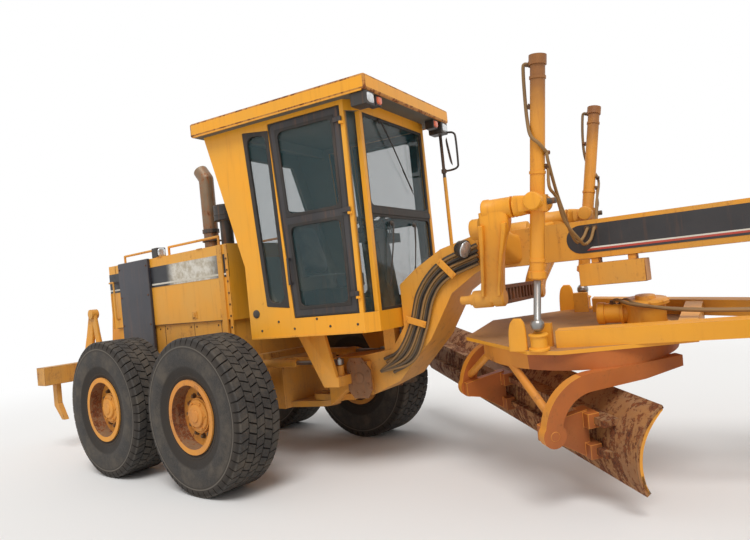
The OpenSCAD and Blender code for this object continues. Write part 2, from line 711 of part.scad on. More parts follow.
module seat() color("dimgray") {
  box([seat_x - 180, -200, floor_z], [seat_x + 180, 200, floor_z + 300]);
  box([seat_x - 260, -260, floor_z + 300], [seat_x + 280, 260, floor_z + 430]);
  side_plate([[seat_x - 260, floor_z + 380], [seat_x - 140, floor_z + 430],
    [seat_x - 230, floor_z + 1130], [seat_x - 340, floor_z + 1130]], -240, 240);
}
// Steering console with its wheel, the two banks of levers and the side box
module console() color("black") {
  side_plate([[300, floor_z], [520, floor_z], [430, floor_z + 820], [300, floor_z + 860],
    [270, floor_z + 800]], -110, 110);
  translate([290, 0, floor_z + 900]) rotate([0, -28, 0]) {
    difference() {
      cylinder(h = 34, r = 215);
      translate([0, 0, -over]) cylinder(h = 34 + 2 * over, r = 185);
    }
    box([-200, -22, 6], [200, 22, 26]);
    translate([0, 0, -60]) cylinder(h = 86, r = 45);
  }
  both_sides() {
    box([330, -330, floor_z + 700], [460, -100, floor_z + 790]);
    for (k = [0:3]) {
      foot = [395, -150 - k * 50, floor_z + 780];
      bar(foot, foot + [-40, 0, 150], 8);
      translate(foot + [-40, 0, 150]) sphere(r = 20, $fn = 24);
    }
  }
}
module cab_lamps() color("black") both_sides() {
  box([cab_front + 40, -roof_half + 20, roof_z - 120],
    [cab_front + roof_out - 10, -roof_half + 170, roof_z]);
  box([cab_front + 80, -roof_half + 230, roof_z - 90],
    [cab_front + roof_out - 30, -roof_half + 330, roof_z]);
}
// Mirror on its pole, at the left front corner
module mirrors() {
  pole = [800, 850];
  foot_x = corner_x - 60;
  arm_z = floor_z - 40;
  mirror_z = roof_z - 650;
  mirror_h = 430;
  color("goldenrod") pipe([[foot_x, cab_half, arm_z], [foot_x, pole[1], arm_z],
    [pole[0], pole[1], arm_z], [pole[0], pole[1], roof_z - 150]], 19);
  color("black") {
    for (z = [mirror_z + 10, mirror_z + mirror_h - 40])
      box([pole[0], pole[1] - 12, z], [pole[0] + 160, pole[1] + 12, z + 24]);
    box([pole[0] + 130, pole[1] - 95, mirror_z],
      [pole[0] + 170, pole[1] + 95, mirror_z + mirror_h]);
  }
}
// Steps that hang below the cab's left side
module ladder() color("black") {
  y = [630, 720];
  for (x = [60, 250]) box([x, y[0], 700], [x + 36, y[1] - 30, floor_low]);
  for (z = [700, 980]) box([60, y[0], z], [286, y[1], z + 30]);
}
// Saddle around the beam: arms, link bar, cross tubes and yokes for the lift cylinders
saddle_x = 1720;
link_z = 1590;
module lift_saddle() color("goldenrod") {
  yoke_in = lift_y - 168;
  both_sides() {
    side_plate([[saddle_x - 160, beam_low + 100], [saddle_x - 120, 1490],
      [saddle_x + 60, 1470], [saddle_x + 110, 1600], [saddle_x + 90, beam_low + 50],
      [saddle_x + 260, lift_z + 70], [saddle_x - 60, lift_z + 70],
      [saddle_x - 160, lift_z - 40]], -430, -350);
    box([saddle_x - 110, -360, beam_low + 60], [saddle_x + 80, -beam_half, beam_top - 70]);
    bar([saddle_x + 190, -360, lift_z - 20], [saddle_x + 190, -yoke_in - 10, lift_z - 20], 68);
    // Yoke that holds the barrel's trunnion pins
    box([saddle_x + 110, -yoke_in - 50, lift_z - 70],
      [lift_x + 140, -yoke_in, lift_z + 60]);
    for (x = [lift_x - 140, lift_x + 85]) difference() {
      union() {
        box([x, -lift_y, lift_z - 55], [x + 55, -yoke_in - 40, lift_z + 55]);
        bar([x, -lift_y, lift_z], [x + 55, -lift_y, lift_z], 55);
      }
      bar([x - over, -lift_y, lift_z], [x + 55 + over, -lift_y, lift_z], 22 + run_fit);
    }
  }
  // Link bar with its row of holes
  difference() {
    box([saddle_x - 60, -351, link_z - 70], [saddle_x + 20, 351, link_z + 70]);
    for (k = [-3:3]) bar([saddle_x - 80, k * 90, link_z], [saddle_x + 40, k * 90, link_z], 26);
  }
}
module accumulator_box() color("goldenrod") {
  box([2330, -230, beam_low - 220], [2830, 60, beam_low - 40]);
  for (x = [2420, 2700]) box([x, -150, beam_low - 41], [x + 60, 0, beam_low]);
}
// Tube swept along points, its rings square to the path and to a side direction
function ahead(p, i) = p[min(i + 1, len(p) - 1)] - p[max(i - 1, 0)];
function across(p, i, side) = cross(ahead(p, i), side) / norm(cross(ahead(p, i), side));
function raised(p, i, side) = cross(across(p, i, side), ahead(p, i)) / norm(ahead(p, i));
module tube_along(p, r, side = [0, 1, 0], n = 8) {
  last = len(p) - 1;
  rings = [for (i = [0:last]) for (k = [0:n - 1])
    p[i] + r * (cos(k * 360 / n) * across(p, i, side) + sin(k * 360 / n) * raised(p, i, side))];
  walls = [for (i = [0:last - 1]) for (k = [0:n - 1])
    [i * n + k, i * n + (k + 1) % n, (i + 1) * n + (k + 1) % n, (i + 1) * n + k]];
  ends = [[for (k = [0:n - 1]) n - 1 - k], [for (k = [0:n - 1]) last * n + k]];
  polyhedron(points = rings, faces = concat(walls, ends), convexity = 4);
}
// Smooth path through hand-chosen points, as a chain of cubic arcs
function smooth(p, steps) = [for (i = [0:len(p) - 2]) for (k = [0:steps - 1])
  let (t = k / steps, a = p[max(i - 1, 0)], b = p[i], c = p[i + 1], d = p[min(i + 2, len(p) - 1)])
  0.5 * (2 * b + (c - a) * t + (2 * a - 5 * b + 4 * c - d) * t * t
    + (3 * b - a - 3 * c + d) * t * t * t), p[len(p) - 1]];
// Hydraulic hoses along the right side of the gooseneck
module hoses() color("black") {
  r = 15;
  count = 5;
  y = -neck_half - r - seat_gap;
  for (k = [0:count - 1]) {
    route = [[470 + k * 22, y, 1080 - k * 32], [640 + k * 32, y, 1160 - k * 24],
      [790 + k * 35, y, 1400 - k * 16], [900 + k * 34, y, 1690 - k * 18],
      [1130 + k * 14, y, 1920 - k * 36], [neck_end - 10, y, 2040 - k * 39]];
    tube_along(smooth(route, 4), r);
  }
}
// Point on the tilted drawbar, from its place before the tilt
function roll_pt(p, a) = [p[0], p[1] * cos(a) - p[2] * sin(a), p[1] * sin(a) + p[2] * cos(a)];
function pitch_pt(p, a) = [p[0] * cos(a) + p[2] * sin(a), p[1], p[2] * cos(a) - p[0] * sin(a)];
function on_drawbar(p) = ball + pitch_pt(roll_pt(p - ball, park_roll), park_pitch);
module tilt_drawbar() translate(ball) rotate([park_roll, park_pitch, 0])
  translate(-ball) children();
lift_ball = [2110, 800, plate_top + 190];
function lift_top(side) = [lift_x, side * lift_y, lift_z];
function lift_end(side) = on_drawbar([lift_ball[0], side * lift_ball[1], lift_ball[2]]);
function lift_dir(side) = (lift_end(side) - lift_top(side)) / norm(lift_end(side) - lift_top(side));
barrel_up = 1030;
barrel_down = 540;
// Lift cylinder's barrel with the pins that it hangs in its yoke by
module lift_barrel(side) color("goldenrod") {
  top = lift_top(side);
  d = lift_dir(side);
  difference() {
    union() {
      bar(top - barrel_up * d, top + barrel_down * d, barrel_r);
      bar(top - 60 * d, top + 60 * d, barrel_r + 22);
      bar(top - [135, 0, 0], top + [135, 0, 0], 22);
      bar(top - (barrel_up + 30) * d, top - (barrel_up - 40) * d, barrel_r + 10);
    }
    bar(top - (barrel_up - 90) * d, top + (barrel_down + over) * d, rod_r + run_fit);
  }
}
module lift_rod(side) color("silver") {
  top = lift_top(side);
  d = lift_dir(side);
  foot = lift_end(side);
  bar(top - 200 * d, foot, rod_r);
  translate(foot) sphere(r = 52);
}
module lift_barrel_right() lift_barrel(RIGHT);
module lift_barrel_left() lift_barrel(LEFT);
module lift_rod_right() lift_rod(RIGHT);
module lift_rod_left() lift_rod(LEFT);

module front_axle() color("goldenrod") {
  both_sides() {
    side_plate([[front_base - 95, axle_z - axle_h / 2], [front_base + 95, axle_z - axle_h / 2],
      [front_base + 95, axle_z + axle_h / 2], [front_base - 95, axle_z + axle_h / 2]],
      -lean_y + 60, 0);
    // Fork that the lean bracket turns in
    for (x = [front_base - 95, front_base + 65])
      side_plate([[x, axle_z - 60], [x + 30, axle_z - 60], [x + 30, axle_z + 60],
        [x, axle_z + 60]], -lean_y - 40, -lean_y + 62);
    bar([front_base - 95, -lean_y, axle_z], [front_base + 95, -lean_y, axle_z], 30);
  }
}
module lean_bracket(side) on_side(side) color("goldenrod") difference() {
  union() {
    bar([front_base - 60, -lean_y, axle_z], [front_base + 60, -lean_y, axle_z], 52);
    box([front_base - 60, -lean_y - 70, axle_z - 50], [front_base + 60, -lean_y, axle_z + 50]);
    box([front_base - 60, -lean_y - 92, axle_z - 150],
      [front_base + 60, -lean_y - 50, axle_z + 150]);
    for (z = [axle_z - 150, axle_z + 112]) {
      box([front_base - 60, -king_y, z], [front_base + 60, -lean_y - 60, z + 38]);
      translate([front_base, -king_y, z]) cylinder(h = 38, r = 60);
    }
    translate([front_base, -king_y, axle_z - 150]) cylinder(h = 300, r = king_r);
  }
  bar([front_base - 62, -lean_y, axle_z], [front_base + 62, -lean_y, axle_z], 30 + run_fit);
}
module knuckle(side) on_side(side) color("goldenrod") difference() {
  union() {
    translate([front_base, -king_y, axle_z - 106]) cylinder(h = 212, r = 60);
    spindle(front_base, RIGHT, king_y + 30);
  }
  translate([front_base, -king_y, axle_z - 108]) cylinder(h = 216, r = king_r + run_fit);
}
module lean_bracket_right() lean_bracket(RIGHT);
module lean_bracket_left() lean_bracket(LEFT);
module knuckle_right() knuckle(RIGHT);
module knuckle_left() knuckle(LEFT);

module drawbar_ball() color("silver") difference() {
  translate(ball) sphere(r = ball_r);
  translate(ball - [0, 0, 150]) cylinder(h = 300, r = ball_pin_r + run_fit);
}
plate_low = plate_top - plate_t;
// Drawbar: socket, two rails that spread to the rear, plate, brackets and circle drive
module drawbar() color("goldenrod") tilt_drawbar() {
  rail_end = [lift_ball[0] + 110, lift_ball[1] - 60];
  difference() {
    union() {
      translate(ball - [0, 0, 95]) cylinder(h = 190, r = ball_r + 40);
      both_sides() translate([0, 0, plate_top - over]) linear_extrude(130)
        polygon([
          [ball[0] - 60, -100], [ball[0] - 60, 0], [ball[0] - 420, 0],
          [rail_end[0], -rail_end[1] + 110], [rail_end[0], -rail_end[1]],
          [ball[0] - 260, -120]
        ]);
      translate([0, 0, ball_z - 60]) linear_extrude(plate_top + 120 - ball_z + 60)
        polygon([[ball[0] - 40, -100], [ball[0] - 40, 100], [ball[0] - 500, 180],
          [ball[0] - 500, -180]]);
    }
    translate(ball) sphere(r = ball_r + run_fit);
    translate(ball - [0, 0, 200]) cylinder(h = 500, r = 72);
  }
  // Plate above the circle
  translate([0, 0, plate_low]) linear_extrude(plate_t) polygon([
    [circle_x - 850, -350], [circle_x - 180, -830], [circle_x + 60, -830],
    [circle_x + 950, -430], [circle_x + 950, 430], [circle_x + 60, 830],
    [circle_x - 180, 830], [circle_x - 850, 350]
  ]);
  // Brackets under the lift cylinders' balls
  both_sides() {
    translate([lift_ball[0], -lift_ball[1], plate_top - over])
      cylinder(h = lift_ball[2] - plate_top - 52 - 12, r = 62);
    box([lift_ball[0] - 60, -lift_ball[1] + 110, plate_top - over],
      [lift_ball[0] + 70, -lift_ball[1] + 150, plate_top + 180]);
  }
  // Drive that turns the circle
  translate([circle_x + 560, 0, plate_top - over]) cylinder(h = 210, r = 150);
  bar([circle_x + 250, 0, plate_top + 110], [circle_x + 560, 0, plate_top + 110], 80);
  // Front edge piece that joins the rails
  box([circle_x + 820, -400, plate_top - over], [circle_x + 950, 400, plate_top + 120]);
}
ring_top = plate_low - seat_gap;
ring_low = ring_top - circle_h;
arm_foot = [-720, 577];
module turn_circle() tilt_drawbar() translate([circle_x, 0, 0]) rotate([0, 0, circle_park])
  children();
// Circle: toothed ring with the two arms that carry the blade
module circle_gear() color("goldenrod") turn_circle() {
  translate([0, 0, ring_low]) difference() {
    cylinder(h = circle_h, r = circle_r, $fn = 96);
    translate([0, 0, -over]) cylinder(h = circle_h + 2 * over, r = circle_r - circle_w, $fn = 96);
  }
  both_sides() difference() {
    arm_shape();
    bar([arm_foot[0], -arm_y - 100, arm_foot[1]], [arm_foot[0], -arm_y + 100, arm_foot[1]],
      36);
  }
  both_sides() bar([-circle_r + 60, -180, ring_low + 30],
    [arm_foot[0] + 20, -arm_y + 10, arm_foot[1] + 105], 32);
}
// One arm: a level leg under the ring that bends down at the rear to the blade's pivot
module arm_shape() {
  y0 = -arm_y - 40;
  y1 = -arm_y + 40;
  bend_z = ring_low - 400;
  bend_x = arm_foot[0] + 330;
  leg_front = 380;
  side_plate([[bend_x - 1, ring_low + over], [leg_front, ring_low + over],
    [leg_front, ring_low - 80], [60, ring_low - 120], [bend_x - 1, ring_low - 130]], y0, y1);
  difference() {
    translate([bend_x, y1, bend_z]) rotate([90, 0, 0]) cylinder(h = y1 - y0, r = 402);
    translate([bend_x, y1 + over, bend_z]) rotate([90, 0, 0])
      cylinder(h = y1 - y0 + 2 * over, r = 270);
    box([bend_x, y0 - over, bend_z - 500], [bend_x + 500, y1 + over, bend_z + 500]);
    box([bend_x - 500, y0 - over, bend_z - 500], [bend_x + 500, y1 + over, bend_z - 20]);
  }
  bar([arm_foot[0], y0, arm_foot[1]], [arm_foot[0], y1, arm_foot[1]], 90);
}
blade_x = -250;
lean_deg = 16;
half_deg = asin(blade_h / 2 / blade_r);
blade_mid = [blade_x + sin(lean_deg) * blade_h / 2, blade_low + cos(lean_deg) * blade_h / 2];
deep = blade_r * cos(half_deg);
blade_axis = blade_mid + deep * [cos(lean_deg), -sin(lean_deg)];
// The blade's curve, as a piece of a tube between two radii over its length
module blade_curve(r0, r1, y0, y1, half) {
  difference() {
    translate([blade_axis[0], y1, blade_axis[1]]) rotate([90, 0, 0])
      cylinder(h = y1 - y0, r = r1, $fn = 96);
    translate([blade_axis[0], y1 + over, blade_axis[1]]) rotate([90, 0, 0])
      cylinder(h = y1 - y0 + 2 * over, r = r0, $fn = 96);
    translate([blade_axis[0], 0, blade_axis[1]]) rotate([0, lean_deg, 0]) {
      side_plate([[0, 0], [-1000 * cos(half), 1000 * sin(half)], [-1000, 1400], [1000, 1400],
        [1000, -1400], [-1000, -1400], [-1000 * cos(half), -1000 * sin(half)]],
        y0 - 2 * over, y1 + 2 * over);
    }
  }
}
slide_back = blade_r + blade_t;
slide_z = [blade_low + 210, blade_low + 440];
// How far the slide rails stop short of the moldboard's ends
slide_short = 260;
// Moldboard with its cutting edge and the two rails that it slides on
module moldboard() color("saddlebrown") turn_circle() {
  y0 = blade_shift - blade_l / 2;
  y1 = blade_shift + blade_l / 2;
  blade_curve(blade_r, slide_back, y0, y1, half_deg);
  for (k = [0, 1])
    box([slide_face - 50, y0 + slide_short, slide_z[k] - 25],
      [slide_face + [16, 80][k], y1 - slide_short, slide_z[k] + 25]);
}
slide_face = blade_axis[0] - slide_back - 6;
module blade_carrier() color("goldenrod") turn_circle() {
  both_sides() {
    difference() {
      union() {
        side_plate([[arm_foot[0] - 60, arm_foot[1] - 60], [arm_foot[0] + 60, arm_foot[1] - 90],
          [slide_face - 60, slide_z[0] - 70], [slide_face - 60, slide_z[1] + 70],
          [arm_foot[0] + 40, arm_foot[1] + 80], [arm_foot[0] - 60, arm_foot[1] + 60]],
          -arm_y + 46, -arm_y + 110);
      }
    }
    bar([arm_foot[0], -arm_y - 42, arm_foot[1]], [arm_foot[0], -arm_y + 60, arm_foot[1]],
      36 - run_fit);
    for (z = slide_z) difference() {
      box([slide_face - 100, -arm_y - 20, z - 55], [slide_face - 6, -arm_y + 180, z + 55]);
      box([slide_face - 52, -arm_y - 40, z - 25 - run_fit],
        [slide_face + 10, -arm_y + 200, z + 25 + run_fit]);
    }
  }
}
// One tyre and rim for each wheel: place along the machine, side
module rim_at(x, side) place_wheel(x, side) rim(side);
module tyre_at(x, side) place_wheel(x, side) tyre();
module rim_mid_right() on_rear() rim_at(mid_x, RIGHT);
module rim_back_right() on_rear() rim_at(back_x, RIGHT);
module rim_mid_left() on_rear() rim_at(mid_x, LEFT);
module rim_back_left() on_rear() rim_at(back_x, LEFT);
module rim_front_right() rim_at(front_base, RIGHT);
module rim_front_left() rim_at(front_base, LEFT);
module tyre_mid_right() on_rear() tyre_at(mid_x, RIGHT);
module tyre_back_right() on_rear() tyre_at(back_x, RIGHT);
module tyre_mid_left() on_rear() tyre_at(mid_x, LEFT);
module tyre_back_left() on_rear() tyre_at(back_x, LEFT);
module tyre_front_right() tyre_at(front_base, RIGHT);
module tyre_front_left() tyre_at(front_base, LEFT);

rear_frame();
tandem_axle();
engine();
hood();
hood_bands();
side_covers();
handrails();
stacks();
rear_lamps();
ripper_frame();
ripper();
rim_mid_right();
rim_back_right();
rim_mid_left();
rim_back_left();
tyre_mid_right();
tyre_back_right();
tyre_mid_left();
tyre_back_left();
front_frame();
cab_shell();
cab_roof();
cab_glass();
door_right();
door_left();
door_glass_right();
door_glass_left();
seat();
console();
cab_lamps();
mirrors();
ladder();
lift_saddle();
accumulator_box();
hoses();
headlamps();
artic_barrel_right();
artic_barrel_left();
artic_rod_right();
artic_rod_left();
lift_barrel_right();
lift_barrel_left();
lift_rod_right();
lift_rod_left();
front_axle();
lean_bracket_right();
lean_bracket_left();
knuckle_right();
knuckle_left();
rim_front_right();
rim_front_left();
tyre_front_right();
tyre_front_left();
drawbar_ball();
drawbar();
circle_gear();
blade_carrier();
moldboard();
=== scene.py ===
"""Motor grader: paint, tyres, glass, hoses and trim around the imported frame."""
import json
import math

import bmesh
import bpy
import numpy as np
from mathutils import Matrix, Vector

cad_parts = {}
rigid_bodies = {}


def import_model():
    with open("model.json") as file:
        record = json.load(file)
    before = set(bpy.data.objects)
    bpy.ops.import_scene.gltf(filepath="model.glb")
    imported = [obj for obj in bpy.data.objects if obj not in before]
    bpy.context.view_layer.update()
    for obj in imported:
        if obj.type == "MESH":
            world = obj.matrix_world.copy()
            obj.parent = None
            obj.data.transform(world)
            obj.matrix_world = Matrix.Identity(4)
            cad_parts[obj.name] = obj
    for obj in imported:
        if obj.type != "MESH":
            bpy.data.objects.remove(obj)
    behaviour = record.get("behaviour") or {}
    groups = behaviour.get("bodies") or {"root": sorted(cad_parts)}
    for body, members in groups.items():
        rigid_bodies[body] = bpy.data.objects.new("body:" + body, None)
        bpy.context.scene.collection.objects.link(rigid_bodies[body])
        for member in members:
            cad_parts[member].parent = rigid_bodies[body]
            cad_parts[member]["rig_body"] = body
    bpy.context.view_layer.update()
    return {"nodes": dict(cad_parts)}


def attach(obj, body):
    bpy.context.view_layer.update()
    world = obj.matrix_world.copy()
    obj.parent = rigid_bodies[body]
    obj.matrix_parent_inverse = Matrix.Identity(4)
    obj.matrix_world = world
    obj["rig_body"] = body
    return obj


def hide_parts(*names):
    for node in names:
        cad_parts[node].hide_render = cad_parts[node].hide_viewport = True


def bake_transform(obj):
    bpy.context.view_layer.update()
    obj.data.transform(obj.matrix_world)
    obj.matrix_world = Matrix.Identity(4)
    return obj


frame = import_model()
nodes = frame["nodes"]

# ---- Camera -------------------------------------------------------------------------------
# Stands on the right, a little ahead of the cab, at a tall person's eye height, and leans
# to one side as the photograph does.
CAMERA_AT = Vector((3.4935, -5.5051, 1.7459))
YAW, CAMERA_PITCH, CAMERA_ROLL = -0.52401, 0.02945, -0.10201
SENSOR, FOCAL_SHARE = 36.0, 638.75 / 750.0
level_ahead = Vector((math.sin(YAW), math.cos(YAW), 0.0))
ahead = level_ahead * math.cos(CAMERA_PITCH) + Vector((0, 0, math.sin(CAMERA_PITCH)))
level = Vector((math.cos(YAW), -math.sin(YAW), 0.0))
upright = level.cross(ahead)
right = level * math.cos(CAMERA_ROLL) + upright * math.sin(CAMERA_ROLL)
up = upright * math.cos(CAMERA_ROLL) - level * math.sin(CAMERA_ROLL)
eye = bpy.data.cameras.new("camera")
eye.sensor_width, eye.lens = SENSOR, SENSOR * FOCAL_SHARE
eye.clip_start, eye.clip_end = 0.05, 300.0
camera = bpy.data.objects.new("camera", eye)
camera.matrix_world = Matrix([(right[k], up[k], -ahead[k], CAMERA_AT[k]) for k in range(3)]
                             + [(0, 0, 0, 1)])
bpy.context.scene.collection.objects.link(camera)
bpy.context.scene.camera = camera

# ---- Studio -------------------------------------------------------------------------------
# A pale sheet of floor that keeps the shadow and turns white far out, a white sky all
# round, and one wide soft lamp from above the machine's right side.
scene = bpy.context.scene
scene.view_settings.view_transform = "Standard"


class Wiring:
    """Adds nodes to one shader tree. Most methods give the socket that carries their result."""

    def __init__(self, tree):
        self.tree = tree

    def give(self, node, inputs):
        """Sets a node's sockets to values, or links other nodes' sockets to them."""
        for key, value in inputs.items():
            if isinstance(value, bpy.types.NodeSocket):
                self.tree.links.new(value, node.inputs[key])
            else:
                node.inputs[key].default_value = value

    def add(self, kind, inputs=None, **settings):
        """New node: settings are its own switches, inputs its sockets' values or links."""
        made = self.tree.nodes.new("ShaderNode" + kind)
        for key, value in settings.items():
            setattr(made, key, value)
        self.give(made, inputs or {})
        return made

    def place(self, axis=None):
        """Object coordinates, all three or one of them."""
        whole = self.add("TexCoord").outputs["Object"]
        return self.add("SeparateXYZ", {0: whole}).outputs[axis] if axis else whole

    def noise(self, vector, scale, detail=4.0, rough=0.6):
        """Cloudy pattern from 0 to 1 at a scale of so many patches a metre."""
        return self.add("TexNoise", {"Vector": vector, "Scale": scale, "Detail": detail,
                                     "Roughness": rough}).outputs["Fac"]

    def mix(self, share, first, second):
        """Colour between two, by a share from 0 to 1."""
        return self.add("Mix", {0: share, 6: first, 7: second}, data_type="RGBA").outputs[2]

    def ease(self, value, low, high, to=(0.0, 1.0)):
        """Smooth step from to[0] to to[1] as value goes from low to high."""
        return self.add("MapRange", {"Value": value, "From Min": low, "From Max": high,
                                     "To Min": to[0], "To Max": to[1]},
                        interpolation_type="SMOOTHSTEP").outputs["Result"]

    def sums(self, kind, first, second, clamp=False):
        """One sum of two values, such as MAXIMUM."""
        return self.add("Math", {0: first, 1: second}, operation=kind, use_clamp=clamp).outputs[0]

    def times(self, first, second, clamp=False):
        """Product of two values."""
        return self.sums("MULTIPLY", first, second, clamp)

    def plus(self, first, *others, clamp=False):
        """Values added one after another."""
        for other in others:
            first = self.sums("ADD", first, other, clamp)
        return first

    def less(self, first, second):
        """Difference of two values."""
        return self.sums("SUBTRACT", first, second)

    def bump(self, height, strength, distance):
        """Normal raised by a height."""
        return self.add("Bump", {"Height": height, "Strength": strength,
                                 "Distance": distance}).outputs[0]


def blank(name):
    """New material, the wiring of its tree, and its Principled shader."""
    made = bpy.data.materials.new(name)
    made.use_nodes = True
    return made, Wiring(made.node_tree), made.node_tree.nodes["Principled BSDF"]


def linear(red, green, blue):
    """Colour that a screen shows with these three numbers, 0 to 255, as the shader wants it."""
    part = np.array([red, green, blue]) / 255.0
    part = np.where(part <= 0.04045, part / 12.92, ((part + 0.055) / 1.055) ** 2.4)
    return (*part.tolist(), 1.0)


FLOOR_R, FLOOR_SIDES, FLOOR_Z = 70, 96, -0.002
turn = np.arange(FLOOR_SIDES) * 2 * np.pi / FLOOR_SIDES
floor_mesh = bpy.data.meshes.new("floor")
floor_mesh.from_pydata(
    np.c_[1 + FLOOR_R * np.cos(turn), FLOOR_R * np.sin(turn), 0 * turn + FLOOR_Z].tolist(), [],
    [list(range(FLOOR_SIDES))])
floor = bpy.data.objects.new("floor", floor_mesh)
scene.collection.objects.link(floor)
WHITE_FROM, WHITE_AT = 7.0, 15.0
ground, w, plain = blank("studio_floor")
away = w.add("VectorMath", {0: w.place()}, operation="LENGTH").outputs["Value"]
seen = w.add("LightPath").outputs
w.give(plain, {"Base Color": (0.80, 0.79, 0.775, 1), "Roughness": 0.85})
glow = w.add("Emission", {"Color": (1, 1, 1, 1), "Strength": 1.0})
white = w.times(w.ease(away, WHITE_FROM, WHITE_AT),
                w.sums("MAXIMUM", seen["Is Camera Ray"], seen["Is Glossy Ray"]))
mixed = w.add("MixShader", {0: white, 1: plain.outputs[0], 2: glow.outputs[0]})
w.give(w.tree.nodes["Material Output"], {"Surface": mixed.outputs[0]})
floor_mesh.materials.append(ground)

SKY_LIGHT = 0.62
sky = bpy.data.worlds.new("studio_sky")
scene.world = sky
sky.use_nodes = True
w = Wiring(sky.node_tree)
seen = w.add("LightPath").outputs
shown = w.sums("MAXIMUM", seen["Is Camera Ray"],
               w.sums("MAXIMUM", seen["Is Glossy Ray"], seen["Is Transmission Ray"]))
w.give(sky.node_tree.nodes["Background"],
       {"Color": (1.0, 1.0, 1.0, 1), "Strength": w.ease(shown, 0.0, 1.0, (SKY_LIGHT, 1.0))})
sun = bpy.data.lights.new("soft_lamp", "SUN")
sun.energy, sun.angle = 1.9, math.radians(28)
lamp = bpy.data.objects.new("soft_lamp", sun)
lamp.rotation_euler = Vector((0.35, -0.62, 1.0)).to_track_quat("Z", "Y").to_euler()
scene.collection.objects.link(lamp)

# ---- Rear frame, tandem cases and ripper --------------------------------------------------
# Welded steel plate and box rails, brush painted in machine yellow that has faded, chipped
# to rust along its edges and gathered dust low down. Cast cases carry the rear wheels.
weather = bpy.data.node_groups.new("weathered_paint", "ShaderNodeTree")
COLOUR, VALUE = "NodeSocketColor", "NodeSocketFloat"
for label, kind, value in (
        ("Paint", COLOUR, (0.7, 0.35, 0.03, 1)), ("Faded", COLOUR, (0.6, 0.35, 0.1, 1)),
        ("Rust", VALUE, 0.3), ("Streaks", VALUE, 0.3), ("Dirt", VALUE, 0.4), ("Gloss", VALUE, 0.45)):
    socket = weather.interface.new_socket(label, in_out="INPUT", socket_type=kind)
    socket.default_value = value
for label, kind in (("Colour", COLOUR), ("Roughness", VALUE), ("Height", VALUE)):
    weather.interface.new_socket(label, in_out="OUTPUT", socket_type=kind)
w, given = Wiring(weather), weather.nodes.new("NodeGroupInput").outputs
place = w.place()
broad, blots = w.noise(place, 1.1, 3.0), w.noise(place, 6.0, 8.0, 0.72)
chips, grain = w.noise(place, 42.0, 5.0, 0.7), w.noise(place, 420.0, 2.0)
drawn = w.add("Mapping", {"Vector": place, "Scale": (11.0, 11.0, 0.7)})
runs = w.noise(drawn.outputs[0], 2.0, 5.0, 0.65)
over_edge = w.plus(w.times(blots, 0.6), w.times(chips, 0.4),
                   w.times(w.less(runs, 0.5), given["Streaks"]),
                   w.times(w.less(broad, 0.5), 0.3), w.times(given["Rust"], 0.36))
rusted, stained = w.ease(over_edge, 0.775, 0.80), w.ease(over_edge, 0.66, 0.80)
facing = w.add("SeparateXYZ", {0: w.add("NewGeometry").outputs["Normal"]}).outputs["Z"]
dusty = w.times(w.plus(w.ease(w.place("Z"), 0.25, 1.9, (1.0, 0.12)),
                       w.ease(facing, 0.6, 0.95, (0.0, 0.7))), given["Dirt"])
dusty = w.times(dusty, w.ease(blots, 0.25, 0.7, (0.35, 1.0)), True)
tone = w.mix(w.ease(broad, 0.35, 0.68), given["Paint"], given["Faded"])
tone = w.mix(w.times(w.ease(runs, 0.5, 0.75), given["Streaks"]), tone, linear(176, 104, 26))
tone = w.mix(w.times(stained, 0.55), tone, linear(150, 84, 30))
tone = w.mix(dusty, tone, linear(148, 122, 92))
iron_rust = w.mix(w.ease(chips, 0.35, 0.65), linear(72, 40, 26), linear(132, 74, 38))
dull = w.plus(given["Gloss"], w.times(rusted, 0.35), w.times(dusty, 0.3))
relief = w.less(w.times(grain, 0.16), w.times(rusted, w.times(chips, 0.9)))
w.give(weather.nodes.new("NodeGroupOutput"), {
    "Colour": w.mix(rusted, tone, iron_rust),
    "Roughness": w.plus(dull, w.times(chips, 0.12), clamp=True),
    "Height": w.plus(relief, w.times(broad, 0.9))})


def painted(name, paint, faded, rust=0.3, streaks=0.25, dirt=0.45, gloss=0.42, metal=0.0,
            bump=0.35):
    """Material for painted or bare metal, weathered by the shared group with its own amounts. The
    two colours are as a screen shows them."""
    made, w, surface = blank(name)
    worn = w.add("Group", {"Paint": linear(*paint), "Faded": linear(*faded), "Rust": rust,
                           "Streaks": streaks, "Dirt": dirt, "Gloss": gloss},
                 node_tree=weather).outputs
    w.give(surface, {"Base Color": worn["Colour"], "Roughness": worn["Roughness"],
                     "Metallic": metal, "Normal": w.bump(worn["Height"], bump, 0.004)})
    return made


def set_smooth(mesh, angle=32.0):
    """Smooth shading, with edges sharper than the angle kept crisp."""
    mesh.shade_smooth()
    mesh.set_sharp_from_angle(angle=math.radians(angle))


def round_edges(made, width, segments=2, material=-1):
    """Rounds the edges sharper than 30 degrees."""
    bevel = made.modifiers.new("rounded_edges", "BEVEL")
    bevel.width, bevel.segments, bevel.limit_method = width, segments, "ANGLE"
    bevel.angle_limit, bevel.harden_normals, bevel.material = math.radians(30), True, material


